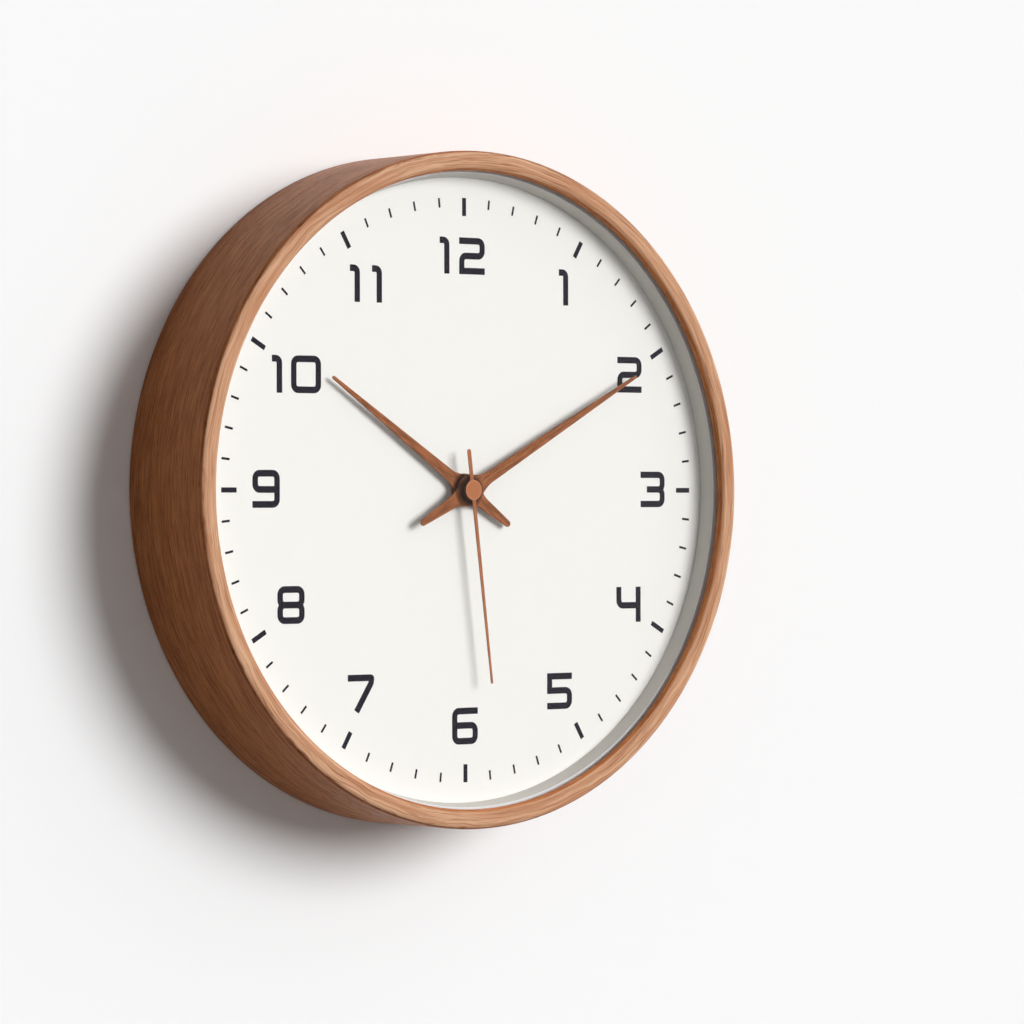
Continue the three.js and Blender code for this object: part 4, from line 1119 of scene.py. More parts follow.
def slab(region, front, back, edge=0.0):
    """Gives a flat region in x and z a thickness along Y, with rounded edges."""
    places, cells = region
    work = bmesh.new()
    corners = [work.verts.new((place.x, front, place.y)) for place in places]
    for cell in cells:
        work.faces.new([corners[i] for i in cell])
    loose = [vert for vert in work.verts if not vert.link_faces]
    bmesh.ops.delete(work, geom=loose, context="VERTS")
    if edge > 0:
        join_flats(work)
    grown = bmesh.ops.extrude_face_region(work, geom=list(work.faces))
    moved = [item for item in grown["geom"] if isinstance(item, bmesh.types.BMVert)]
    bmesh.ops.translate(work, verts=moved, vec=(0.0, back - front, 0.0))
    bmesh.ops.recalc_face_normals(work, faces=work.faces)
    if edge > 0:
        round_edges(work, edge, SLAB_CORNER)
    mesh = smooth(from_sheet(work, bpy.data.meshes.new("slab")))
    return even_faces(mesh) if edge > 0 else mesh


def arc(z, radius, start, end, steps):
    """Points of an arc about a point on the vertical through the axis, with both ends."""
    angles = [start + (end - start) * i / steps for i in range(steps + 1)]
    return [(radius * math.cos(angle), z + radius * math.sin(angle)) for angle in angles]


def circle(radius, steps):
    return arc(0.0, radius, 0.0, FULL_TURN, steps)[:-1]


def moved_outline(outline, angle=0.0, shift=(0.0, 0.0)):
    """Turns an outline clockwise as seen from the front, then shifts it."""
    cosine, sine = math.cos(angle), math.sin(angle)
    return [
        (x * cosine + z * sine + shift[0], z * cosine - x * sine + shift[1])
        for x, z in outline
    ]


def softened(node, edge, angle=PIECE_CORNER):
    """A copy of a node's mesh with its flat faces joined and its edges rounded."""
    work = bmesh.new()
    work.from_mesh(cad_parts[node].data)
    bmesh.ops.remove_doubles(work, verts=work.verts, dist=SAME_PLACE)
    join_flats(work)
    bmesh.ops.recalc_face_normals(work, faces=work.faces)
    round_edges(work, edge, angle)
    return even_faces(smooth(from_sheet(work, bpy.data.meshes.new(node))))


# Print on the dial

def rounded_path(points, closed, rounding, steps):
    """The middle line of a stroke. Each point is (x, z, rounded), and a rounded corner takes
    that share of the rounding as its radius, or less where its sides are short."""
    path = []
    total = len(points)
    for i, (x, z, rounded) in enumerate(points):
        here = Vector((x, z))
        inner = closed or 0 < i < total - 1
        if not inner or not rounded:
            path.append(here)
            continue
        before = Vector(points[i - 1][:2]) - here
        after = Vector(points[(i + 1) % total][:2]) - here
        half = before.angle(after) / 2
        shorter = min(before.length, after.length)
        size = min(rounding * rounded, shorter / 2, shorter * math.tan(half))
        before.normalize()
        after.normalize()
        centre = here + (before + after).normalized() * (size / math.sin(half))
        first = here + before * (size / math.tan(half)) - centre
        last = here + after * (size / math.tan(half)) - centre
        sweep = first.angle_signed(last)
        for k in range(steps + 1):
            path.append(centre + Matrix.Rotation(-sweep * k / steps, 2) @ first)
    return path


def stroke_sides(path, closed, width):
    """The left and the right edge of a stroke of even width along its middle line."""
    sides = ([], [])
    for i, here in enumerate(path):
        before = path[i - 1] if closed or i > 0 else None
        after = path[(i + 1) % len(path)] if closed or i < len(path) - 1 else None
        ways = []
        if before is not None and (here - before).length > SAME_STEP:
            ways.append((here - before).normalized())
        if after is not None and (after - here).length > SAME_STEP:
            ways.append((after - here).normalized())
        way = sum(ways, Vector((0.0, 0.0))).normalized()
        normal = Vector((-way.y, way.x))
        stretch = 1 / max(normal.dot(Vector((-ways[0].y, ways[0].x))), SHARP_CORNER_LIMIT)
        for side, out in zip(sides, (1, -1)):
            side.append(tuple(here + normal * out * stretch * width / 2))
    return sides


# The strokes of each numeral but the one, in a box from (0, 0) to (1, 1): whether a stroke is closed,
# and its points. The third number of a point says how round its corner is. Ends beyond the box are
# cut off at the numeral's full height.
GLYPHS = {
    "0": ((True, ((0, 0, 1), (0, 1, 1), (1, 1, 1), (1, 0, 1))),),
    "2": ((False, ((0, 1, 0), (1, 1, 1), (1, 0.5, 1), (0, 0.5, 1), (0, 0, 0), (1, 0, 0))),),
    "3": (
        (False, ((0, 1, 0), (1, 1, 1), (1, 0.5, 1), (0.2, 0.5, 0))),
        (False, ((0.2, 0.5, 0), (1, 0.5, 1), (1, 0, 1), (0, 0, 0))),
    ),
    "4": (
        (False, ((0, 1.1, 0), (0, 0.47, 1), (1, 0.47, 0))),
        (False, ((1, 1.1, 0), (1, -0.1, 0))),
    ),
    "5": ((False, ((1, 1, 0), (0, 1, 0), (0, 0.52, 0), (1, 0.52, 1), (1, 0, 1), (0, 0, 0))),),
    "6": (
        (False, ((1, 1, 0), (0, 1, 1), (0, 0.4, 0))),
        (True, ((0, 0, 1), (0, 0.52, 0), (1, 0.52, 1), (1, 0, 1))),
    ),
    "7": ((False, ((0, 1, 0), (1, 1, 0.2), (0.97, 0.82, 0.4), (0.28, -0.1, 0))),),
    "8": (
        (True, ((0, 0, 1), (0, 0.5, 1), (1, 0.5, 1), (1, 0, 1))),
        (True, ((0, 0.5, 1), (0, 1, 1), (1, 1, 1), (1, 0.5, 1))),
    ),
    "9": (
        (False, ((0, 0, 0), (1, 0, 1), (1, 0.6, 0))),
        (True, ((0, 0.48, 1), (0, 1, 1), (1, 1, 1), (1, 0.48, 0))),
    ),
}


def one_strokes(sizes):
    """The one: a short flag, a rounded corner and a straight stem, in metres."""
    half = sizes.glyph_height / 2
    inset = sizes.stroke / 2
    left = -(sizes.stroke + sizes.flag) / 2
    stem = left + sizes.flag + inset
    return [(False, [(left, half - inset, 0), (stem, half - inset, 1), (stem, -half, 0)])]


def placed_strokes(digit, sizes):
    """The strokes of a numeral in metres, centred on the numeral."""
    if digit == "1":
        return one_strokes(sizes)
    width = sizes.zero_width if digit == "0" else sizes.glyph_width
    span_x = width - sizes.stroke
    span_z = sizes.glyph_height - sizes.stroke
    strokes = []
    reach_z = sizes.glyph_height / 2
    for closed, points in GLYPHS[digit]:
        ends = []
        for i, (x, z, rounded) in enumerate(points):
            place_x = (x - 0.5) * span_x
            place_z = (z - 0.5) * span_z
            at_end = not closed and i in (0, len(points) - 1)
            if at_end and x in (0, 1) and z in (0, 1):
                place_x += math.copysign(sizes.stroke / 2, x - 0.5)
            place_z = max(-reach_z, min(reach_z, place_z))
            ends.append((place_x, place_z, rounded))
        strokes.append((closed, ends))
    return strokes


# Each numeral's digits, with the middle of each digit on the dial in millimetres
NUMERALS = (
    ("1", -10.4, 104.1), ("2", 5.0, 104.1),
    ("1", 57.5, 91.7),
    ("2", 96.3, 52.8),
    ("3", 110.0, 0.4),
    ("4", 95.4, -52.2),
    ("5", 54.6, -90.7),
    ("6", 0.4, -104.8),
    ("7", -57.0, -88.7),
    ("8", -94.5, -49.6),
    ("9", -107.5, 0.5),
    ("1", -101.6, 50.0), ("0", -86.2, 50.0),
    ("1", -59.8, 90.2), ("1", -47.8, 90.2),
)


def numeral_mesh(sizes, front, back):
    """All numerals as one print, each digit joined to one region of ink."""
    work = bmesh.new()
    for digit, x, z in NUMERALS:
        solids = []
        for closed, points in placed_strokes(digit, sizes):
            path = rounded_path(points, closed, sizes.corner, sizes.corner_steps)
            left, right = stroke_sides(path, closed, sizes.stroke)
            total = len(left)
            for i in range(total if closed else total - 1):
                k = (i + 1) % total
                solids.append([right[i], right[k], left[k], left[i]])
        solids = [moved_outline(outline, 0.0, (x * MM, z * MM)) for outline in solids]
        digit_mesh = slab(flat_region(solids), front, back)
        work.from_mesh(digit_mesh)
        bpy.data.meshes.remove(digit_mesh)
    mesh = bpy.data.meshes.new("numerals")
    return smooth(from_sheet(work, mesh))


def marks_tree():
    """Sets minute marks round a circle, with a longer and wider one at each hour."""
    tree, sheet, given = new_tree("Minute marks", (
        ("Count", "Int", 60), ("Hour Every", "Int", 5),
        ("Hour Radius", "Float", 0.1), ("Hour Length", "Float", 0.01), ("Hour Width", "Float", 0.002),
        ("Minute Radius", "Float", 0.1), ("Minute Length", "Float", 0.005),
        ("Minute Width", "Float", 0.001), ("Ink", "Float", 0.0001), ("Depth", "Float", 0.0),
        ("Shift", "Float", 0.0), ("Stretch", "Float", 1.0), ("Bulge", "Float", 0.0),
    ))
    index = sheet.get("GeometryNodeInputIndex")
    angle = index * FULL_TURN / given["Count"]
    sine, cosine = sheet.math("SINE", angle), sheet.math("COSINE", angle)
    bulge = sine * sheet.math("ABSOLUTE", cosine) * 2.0 * given["Bulge"]
    on_hour = sheet.math("COMPARE", index % given["Hour Every"], 0.0)
    parts = []
    for kind, chosen in (("Hour", on_hour), ("Minute", 1.0 - on_hour)):
        mark = sheet.get(
            "GeometryNodeMeshCube", {},
            {"Size": sheet.arrange(given[f"{kind} Width"], given["Ink"], given[f"{kind} Length"])},
            "Mesh",
        )
        radius = given[f"{kind} Radius"]
        place = sheet.arrange(
            radius * sine * given["Stretch"] + given["Shift"] + bulge, given["Depth"], radius * cosine,
        )
        points = sheet.get("GeometryNodePoints", {}, {"Count": given["Count"], "Position": place})
        way = sheet.get(
            "FunctionNodeAxisAngleToRotation", {}, {"Axis": (0.0, 1.0, 0.0), "Angle": angle},
        )
        parts.append(sheet.get(
            "GeometryNodeInstanceOnPoints", {},
            {"Points": points, "Selection": chosen, "Instance": mark, "Rotation": way},
        ))
    joined = sheet.node("GeometryNodeJoinGeometry")
    for part in parts:
        tree.links.new(part.socket, joined.inputs[0])
    close_tree(sheet, given, sheet.wire(joined))
    return tree


# Hands

def hand_outline(length_out, tail, root, tip, tail_width, hub, reach_out, start, steps):
    """Outline of a hand that points up, with a round hub and hollow fillets into its arms."""
    on_hub = (hub * math.sin(start), hub * math.cos(start))
    side = root / 2
    bend = on_hub[1] + (on_hub[0] - side) * math.sin(start) / math.cos(start)
    quarter = FULL_TURN / 4

    def hollow(first, knee, last):
        points = []
        for i in range(1, steps + 1):
            t = i / steps
            points.append(tuple(
                (1 - t) ** 2 * a + 2 * t * (1 - t) * b + t * t * c
                for a, b, c in zip(first, knee, last)
            ))
        return points

    outline = arc(length_out - tip / 2, tip / 2, 0.0, 2 * quarter, steps)
    outline.append((-side, reach_out))
    outline += hollow((-side, reach_out), (-side, bend), (-on_hub[0], on_hub[1]))
    outline += arc(0.0, hub, quarter + start, 3 * quarter - start, steps)[1:]
    outline += hollow((-on_hub[0], -on_hub[1]), (-side, -bend), (-side, -reach_out))
    outline += arc(tail_width / 2 - tail, tail_width / 2, 2 * quarter, 4 * quarter, steps)
    outline.append((side, -reach_out))
    outline += hollow((side, -reach_out), (side, -bend), (on_hub[0], -on_hub[1]))
    outline += arc(0.0, hub, start - quarter, quarter - start, steps)[1:]
    outline += hollow(on_hub, (side, bend), (side, reach_out))
    return outline


# Hoop and screws

def split_ring(mesh, width):
    """Cuts an open joint of this width out of the bottom of a ring, and closes both ends."""
    work = bmesh.new()
    work.from_mesh(mesh)
    for side in (-1, 1):
        bmesh.ops.bisect_plane(
            work, geom=[*work.verts, *work.edges, *work.faces],
            plane_co=(side * width / 2, 0.0, 0.0), plane_no=(side, 0.0, 0.0),
        )
    gone = []
    for face in work.faces:
        centre = face.calc_center_median()
        if abs(centre.x) < width / 2 and centre.z < 0:
            gone.append(face)
    bmesh.ops.delete(work, geom=gone, context="FACES")
    open_edges = [e for e in work.edges if len(e.link_faces) == 1]
    bmesh.ops.holes_fill(work, edges=open_edges, sides=0)
    return smooth(from_sheet(work, mesh))


def screw_mesh(sizes):
    """A screw with a domed head and a cross recess. Its local +Y runs into the wood."""
    head = sizes.screw_radius
    height = sizes.screw_height
    recess_half = head * SCREW_RECESS_HALF
    recess_reach = head * SCREW_RECESS_REACH
    recess_depth = height * SCREW_RECESS_DEPTH
    work = bmesh.new()

    def round_points(radius):
        angles = [FULL_TURN * (k + 0.5) / SCREW_STEPS for k in range(SCREW_STEPS)]
        return [(radius * math.cos(angle), radius * math.sin(angle)) for angle in angles]

    def dome(radius):
        edge = max(0.0, radius / head - SCREW_FLAT) / (1 - SCREW_FLAT)
        return -height + SCREW_FALL * height * edge ** SCREW_FALL_POWER

    def recess(x, z, radius):
        arm = min(abs(x), abs(z))
        if radius > recess_reach or arm > recess_half:
            return 0.0
        return recess_depth * (1 - SCREW_RECESS_RISE * radius / recess_reach)

    rows = []
    for i in range(1, SCREW_RINGS + 1):
        radius = head * (i / SCREW_RINGS) ** SCREW_RING_POWER
        rows.append([
            work.verts.new((x, dome(radius) + recess(x, z, radius), z))
            for x, z in round_points(radius)
        ])
    hub = work.verts.new((0.0, -height + recess_depth, 0.0))
    shank = sizes.shank_radius
    for radius, depth in ((head, 0.0), (shank, 0.0), (shank, sizes.screw_length - shank)):
        rows.append([work.verts.new((x, depth, z)) for x, z in round_points(radius)])
    point = work.verts.new((0.0, sizes.screw_length, 0.0))
    for k in range(SCREW_STEPS):
        after = (k + 1) % SCREW_STEPS
        work.faces.new((hub, rows[0][k], rows[0][after]))
        work.faces.new((point, rows[-1][after], rows[-1][k]))
        for first, second in zip(rows, rows[1:]):
            work.faces.new((first[k], second[k], second[after], first[after]))
    mesh = bpy.data.meshes.new("screw")
    return smooth(from_sheet(work, mesh), SCREW_SHARP_ANGLE)


def screws_tree():
    """Sets a screw on each point, pointing the way of the point's direction and turned at random."""
    found = bpy.data.node_groups.get("Fitted screws")
    if found:
        return found
    tree, sheet, given = new_tree("Fitted screws", (
        ("Screw", "Object", None), ("Turn Seed", "Int", 1),
    ))
    screw = sheet.get("GeometryNodeObjectInfo", {}, {"Object": given["Screw"]}, "Geometry")
    way = sheet.get(
        "GeometryNodeInputNamedAttribute", {"data_type": "FLOAT_VECTOR"},
        {"Name": "direction"}, "Attribute",
    )
    aimed = sheet.get("FunctionNodeAlignRotationToVector", {"axis": "Y"}, {"Vector": way})
    chance = sheet.get(
        "FunctionNodeRandomValue", {"data_type": "FLOAT"},
        {"Min": 0.0, "Max": FULL_TURN / 4, "Seed": given["Turn Seed"]}, "Value",
    )
    twist = sheet.get(
        "FunctionNodeAxisAngleToRotation", {}, {"Axis": (0.0, 1.0, 0.0), "Angle": chance},
    )
    turned = sheet.get(
        "FunctionNodeRotateRotation", {"rotation_space": "LOCAL"},
        {"Rotation": aimed, "Rotate By": twist},
    )
    points = sheet.get("GeometryNodeMeshToPoints", {}, {"Mesh": given["Geometry"]})
    placed = sheet.get(
        "GeometryNodeInstanceOnPoints", {},
        {"Points": points, "Instance": screw, "Rotation": turned},
    )
    close_tree(sheet, given, placed)
    return tree


def fitted_screws(name, places, ways, sizes, material):
    """Runs the screw tree on points and directions, and gives one plain mesh."""
    screw = new_object("screw work", screw_mesh(sizes))
    mesh = bpy.data.meshes.new(name)
    mesh.from_pydata(places, [], [])
    direction = mesh.attributes.new("direction", "FLOAT_VECTOR", "POINT")
    direction.data.foreach_set("vector", [part for way in ways for part in way])
    result = run_tree(screws_tree(), mesh, material, Screw=screw, Turn_Seed=sizes.turn_seed)
    bpy.data.objects.remove(screw)
    return smooth(result, SCREW_SHARP_ANGLE)


# The pieces

class WALLCLOCK_OT_drum(bpy.types.Operator):
    """Makes the bent-wood drum case with its rounded front lip"""

    bl_idname = "wall_clock.drum"
    bl_label = "Drum case"

    def execute(self, context):
        sizes = settings().case
        front, back = layer("case_ring")
        outer = reach("case_ring")
        opening = outer - sizes.lip_width
        recess = outer - sizes.wall
        seat_depth = front + sizes.lip_depth
        material = finish("clock veneer", veneer_paint)
        mesh = turned_mesh("drum_case", (
            (opening, front, sizes.lip_edge),
            (outer, front, sizes.front_edge),
            (outer, back, sizes.rear_edge),
            (recess, back, sizes.fine_edge),
            (recess, seat_depth, 0.0),
            (opening, seat_depth, sizes.fine_edge),
        ), material, sizes.ring_steps, 7)
        seat("drum_case", mesh, material, "case", "veneered_wood", "case_ring")
        return {"FINISHED"}


class WALLCLOCK_OT_lens(bpy.types.Operator):
    """Makes the flat lens behind the lip, with ground edges"""

    bl_idname = "wall_clock.lens"
    bl_label = "Lens"

    def execute(self, context):
        sizes = settings().case
        front, back = layer("lens_glass")
        outer = reach("lens_glass")
        material = finish("clock lens", lens_paint)
        mesh = turned_mesh("flat_lens", (
            (0.0, front, 0.0), (outer, front, sizes.fine_edge),
            (outer, back, sizes.fine_edge), (0.0, back, 0.0),
        ), material, sizes.ring_steps, 3, False)
        seat("flat_lens", mesh, material, "case", "lens", "lens_glass")
        return {"FINISHED"}


class WALLCLOCK_OT_spacer(bpy.types.Operator):
    """Makes the ring that holds the lens off the dial"""

    bl_idname = "wall_clock.spacer"
    bl_label = "Spacer"

    def execute(self, context):
        sizes = settings().case
        front, back = layer("spacer_ring")
        outer = reach("spacer_ring")
        inner = reach("case_ring") - sizes.lip_width - sizes.ledge
        material = finish("clock spacer", spacer_paint)
        mesh = turned_mesh("lens_spacer", (
            (inner, front, sizes.fine_edge), (outer, front, 0.0), (outer, back, 0.0),
            (inner - sizes.draft, back, 0.0),
        ), material, sizes.ring_steps, 4)
        seat("lens_spacer", mesh, material, "case", "spacer", "spacer_ring")
        return {"FINISHED"}


class WALLCLOCK_OT_dial(bpy.types.Operator):
    """Makes the white dial card"""

    bl_idname = "wall_clock.dial"
    bl_label = "Dial"

    def execute(self, context):
        sizes = settings().case
        front, back = layer("dial_card")
        outer = reach("dial_card")
        bore = settings().hands.nut_bore
        material = finish("clock paper", paper_paint)
        mesh = turned_mesh("dial_face", (
            (bore, front, 0.0), (outer, front, 0.0), (outer, back, 0.0), (bore, back, 0.0),
        ), material, sizes.ring_steps, 2)
        seat("dial_face", mesh, material, "case", "dial", "dial_card")
        return {"FINISHED"}


class WALLCLOCK_OT_minute_marks(bpy.types.Operator):
    """Prints the sixty minute marks on the dial"""

    bl_idname = "wall_clock.minute_marks"
    bl_label = "Minute marks"

    def execute(self, context):
        sizes = settings().dial
        face = layer("dial_card")[0]
        material = finish("clock ink", ink_paint)
        mesh = run_tree(
            marks_tree(), bpy.data.meshes.new("marks"), material,
            Count=sizes.mark_count, Hour_Every=sizes.major_every,
            Hour_Radius=sizes.major_radius, Hour_Length=sizes.major_length,
            Hour_Width=sizes.major_width, Minute_Radius=sizes.minor_radius,
            Minute_Length=sizes.minor_length, Minute_Width=sizes.minor_width,
            Ink=2 * sizes.ink, Depth=face, Shift=sizes.ring_right, Stretch=sizes.ring_stretch,
            Bulge=sizes.ring_bulge,
        )
        seat("minute_marks", mesh, material, "case", "dial")
        return {"FINISHED"}


class WALLCLOCK_OT_numerals(bpy.types.Operator):
    """Prints the numerals from one to twelve on the dial"""

    bl_idname = "wall_clock.numerals"
    bl_label = "Numerals"

    def execute(self, context):
        sizes = settings().dial
        face = layer("dial_card")[0]
        material = finish("clock ink", ink_paint)
        mesh = numeral_mesh(sizes, face - sizes.ink, face + sizes.ink)
        seat("dial_numerals", mesh, material, "case", "dial")
        return {"FINISHED"}


class WALLCLOCK_OT_hands(bpy.types.Operator):
    """Makes the hour hand and the minute hand"""

    bl_idname = "wall_clock.hands"
    bl_label = "Hour and minute hand"

    def execute(self, context):
        sizes = settings().hands
        for name, body, node, far, tail, root, bore, hub_shade, angle in (
            ("hour_pointer", "hour", "hour_hand", sizes.hour_length, sizes.hour_tail,
             sizes.hour_root, sizes.hour_bore, sizes.hour_hub_shade, sizes.hour_angle),
            ("minute_pointer", "minute", "minute_hand", sizes.minute_length, sizes.minute_tail,
             sizes.minute_root, sizes.minute_bore, sizes.minute_hub_shade, sizes.minute_angle),
        ):
            outline = hand_outline(
                far, tail, root, sizes.tip_width, sizes.tail_width, sizes.hub_radius,
                sizes.hub_reach, sizes.hub_start, sizes.outline_steps,
            )
            outline = moved_outline(outline, angle)
            hole = circle(bore, HOLE_STEPS)
            front, back = layer(node)
            mesh = slab(flat_region([outline], [hole]), front, back, sizes.edge)
            # The finish carries painted shade round the hole and on the hand's sides
            material = finish(f"clock {name}", hand_paint(angle, front, hub_shade))
            seat(name, mesh, material, body, "hands", node)
        return {"FINISHED"}


class WALLCLOCK_OT_second_hand(bpy.types.Operator):
    """Makes the second hand and its cap"""

    bl_idname = "wall_clock.second_hand"
    bl_label = "Second hand"

    def execute(self, context):
        sizes = settings().hands
        outline = hand_outline(
            sizes.second_length, sizes.second_tail, sizes.second_root, sizes.second_tip,
            sizes.second_tail_width, sizes.eye_radius, sizes.eye_radius + sizes.second_root,
            sizes.eye_start, sizes.outline_steps,
        )
        outline = moved_outline(outline, sizes.second_angle)
        hole = circle(sizes.eye_bore, HOLE_STEPS)
        blade_front, blade_back = layer("second_hand")
        region = flat_region([outline], [hole])
        mesh = slab(region, blade_front, blade_back, sizes.edge * BLADE_EDGE_SHARE)
        material = finish("clock second pointer", copper_paint(sizes.second_angle, blade_front))
        seat("second_pointer", mesh, material, "seconds", "second_hand", "second_hand")
        cap_front, cap_back = layer("second_hand_cap")
        radius = reach("second_hand_cap")
        material = finish("clock cap", cap_paint)
        mesh = turned_mesh("pointer_cap", (
            (0.0, cap_front, 0.0),
            (radius, cap_front, sizes.cap_edge),
            (radius, blade_front - CAP_GAP, 0.0),
            (sizes.cap_neck, blade_front - CAP_GAP, 0.0),
            (sizes.cap_neck, blade_back + CAP_GAP, 0.0),
            (radius, blade_back + CAP_GAP, 0.0),
            (radius, cap_back, sizes.cap_edge),
            (PIN_RADIUS, cap_back, 0.0),
            (PIN_RADIUS, blade_front, 0.0),
            (0.0, blade_front, 0.0),
        ), material, SMALL_STEPS, 4, False)
        seat("pointer_cap", mesh, material, "seconds", "second_hand", "second_hand_cap")
        return {"FINISHED"}


class WALLCLOCK_OT_centre_fittings(bpy.types.Operator):
    """Makes the nut and washer that clamp the movement to the dial"""

    bl_idname = "wall_clock.centre_fittings"
    bl_label = "Nut and washer"

    def execute(self, context):
        sizes = settings().hands
        brass = shared_finish("brass")
        front, back = layer("dial_nut")
        corner = sizes.nut_flats / 2 / math.cos(FULL_TURN / 12)
        outline = circle(corner, 6)
        hole = circle(sizes.nut_bore, HOLE_STEPS)
        mesh = slab(flat_region([outline], [hole]), front, back, NUT_EDGE)
        seat("clamp_nut", mesh, brass, "case", "brass", "dial_nut")
        front, back = layer("dial_washer")
        outer = reach("dial_washer")
        mesh = turned_mesh("clamp_washer", (
            (sizes.nut_bore, front, WASHER_EDGE), (outer, front, WASHER_EDGE),
            (outer, back, WASHER_EDGE), (sizes.nut_bore, back, WASHER_EDGE),
        ), brass, SMALL_STEPS, 3)
        seat("clamp_washer", mesh, brass, "case", "brass", "dial_washer")
        return {"FINISHED"}


class WALLCLOCK_OT_hoop(bpy.types.Operator):
    """Makes the split hoop that holds the dial in the drum, and its screws"""

    bl_idname = "wall_clock.hoop"
    bl_label = "Retaining hoop"

    def execute(self, context):
        sizes = settings().rear
        front, back = layer("retaining_hoop")
        outer = reach("retaining_hoop")
        inner = outer - sizes.hoop_width
        material = shared_finish("hoop")
        mesh = turned_mesh("inner_hoop", (
            (inner, front, 0.0), (outer, front, 0.0),
            (outer, back, sizes.wood_edge), (inner, back, sizes.wood_edge),
        ), material, settings().case.ring_steps, 4)
        mesh = split_ring(mesh, sizes.hoop_split)
        seat("inner_hoop", mesh, material, "case", "plain_wood", "retaining_hoop")
        steel = shared_finish("steel")
        places = []
        ways = []
        head = inner - HOOP_SCREW_GAP
        depth = (front + back) / 2
        for i in range(sizes.hoop_screws):
            angle = FULL_TURN * (i + 0.5) / sizes.hoop_screws
            way = (math.sin(angle), 0.0, math.cos(angle))
            places.append((head * way[0], depth, head * way[2]))
            ways.append(way)
        mesh = fitted_screws("hoop_screws", places, ways, sizes, steel)
        nodes = [f"hoop_screw_{i + 1}" for i in range(sizes.hoop_screws)]
        seat("hoop_screws", mesh, steel, "case", "steel", *nodes)
        return {"FINISHED"}


class WALLCLOCK_OT_hanger(bpy.types.Operator):
    """Makes the hanger block, the keyhole plate and its screws"""

    bl_idname = "wall_clock.hanger"
    bl_label = "Hanger"

    def execute(self, context):
        sizes = settings().rear
        block = shared_finish("block")
        steel = shared_finish("steel")
        mesh = softened("hanger_block", sizes.wood_edge)
        seat("wood_block", mesh, block, "case", "plain_wood", "hanger_block")
        mesh = softened("hanger_plate", PLATE_EDGE)
        seat("keyhole_plate", mesh, steel, "case", "steel", "hanger_plate")
        plate_back = layer("hanger_plate")[1]
        height = middle("hanger_plate").z
        half = sizes.hanger_spacing / 2
        places = [(side * half, plate_back + PLATE_SCREW_GAP, height) for side in (-1, 1)]
        ways = [(0.0, -1.0, 0.0)] * 2
        mesh = fitted_screws("plate_screws", places, ways, sizes, steel)
        seat("plate_screws", mesh, steel, "case", "steel", "hanger_screw_1", "hanger_screw_2")
        return {"FINISHED"}


class WALLCLOCK_OT_movement(bpy.types.Operator):
    """Makes the movement's moulded case, its cover and the setting knob"""

    bl_idname = "wall_clock.movement"
    bl_label = "Movement"

    def execute(self, context):
        sizes = settings().rear
        moulded = shared_finish("moulded")
        wheel = shared_finish("wheel")
        for name, node in (("movement_tray", "movement_base"), ("movement_lid", "movement_cover")):
            mesh = softened(node, sizes.moulded_edge)
            seat(name, mesh, moulded, "case", "movement_case", node)
        mesh = softened("setting_knob", KNOB_EDGE, KNOB_CORNER)
        seat("time_knob", mesh, wheel, "knob", "wheels", "setting_knob")
        return {"FINISHED"}


class WALLCLOCK_OT_battery(bpy.types.Operator):
    """Makes the cell: a printed sleeve and its metal ends"""

    bl_idname = "wall_clock.battery"
    bl_label = "Battery"

    def execute(self, context):
        sizes = settings().rear
        low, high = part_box("battery")
        centre = middle("battery")
        radius = sizes.cell_radius
        shoulder = high.x - sizes.cell_nub_length
        fold = radius - SLEEVE_FOLD
        foot = low.x + SLEEVE_GAP
        top = shoulder - SLEEVE_GAP
        can = radius - CELL_CAN_INSET
        stand = Matrix.Translation((0.0, centre.y, centre.z)) @ Matrix.Rotation(-FULL_TURN / 4, 4, "Z")
        sleeve = finish("clock sleeve", sleeve_paint)
        steel = shared_finish("steel")
        mesh = turned_mesh("cell_sleeve", (
            (fold, foot, 0.0), (radius, foot, sizes.cell_edge),
            (radius, top, sizes.cell_edge), (fold, top, 0.0),
        ), sleeve, SMALL_STEPS, 6)
        mesh.transform(stand)
        seat("cell_sleeve", mesh, sleeve, "battery", "battery", "battery")
        nub = sizes.cell_nub
        mesh = turned_mesh("cell_ends", (
            (0.0, low.x, 0.0),
            (radius - CELL_BASE_INSET, low.x, CELL_END_EDGE),
            (can, low.x + CELL_GROOVE, CELL_CAN_EDGE),
            (can, shoulder - CELL_GROOVE, CELL_CAN_EDGE),
            (nub + CELL_NUB_FOOT, shoulder - CELL_GROOVE, CELL_END_EDGE),
            (nub, shoulder, CELL_END_EDGE),
            (nub, high.x, CELL_NUB_EDGE),
            (0.0, high.x, 0.0),
        ), steel, SMALL_STEPS, 4, False)
        mesh.transform(stand)
        seat("cell_ends", mesh, steel, "battery", "steel")
        return {"FINISHED"}


class WALLCLOCK_OT_finishes(bpy.types.Operator):
    """Gives the frame's own pieces their finishes"""

    bl_idname = "wall_clock.finishes"
    bl_label = "Finishes"

    def execute(self, context):
        kinds = {
            "board": ("dial_board",),
            "rubber": ("movement_gasket",),
            "brass": ("threaded_bushing", "minute_tube"),
            "steel": ("seconds_arbor", "stator", "coil_core", "crystal_can", "contact_minus",
                      "contact_plus"),
            "wheel": ("hour_wheel", "motion_wheel", "centre_wheel", "third_wheel", "seconds_wheel",
                      "fifth_wheel", "coil_bobbin", "train_plate"),
            "magnet": ("rotor",),
            "winding": ("coil_winding",),
            "circuit": ("circuit_board",),
            "chip": ("chip_blob",),
        }
        for kind, nodes in kinds.items():
            material = shared_finish(kind)
            for node in nodes:
                for material_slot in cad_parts[node].material_slots:
                    material_slot.material = material
        return {"FINISHED"}


# Wall, floor, lights and camera

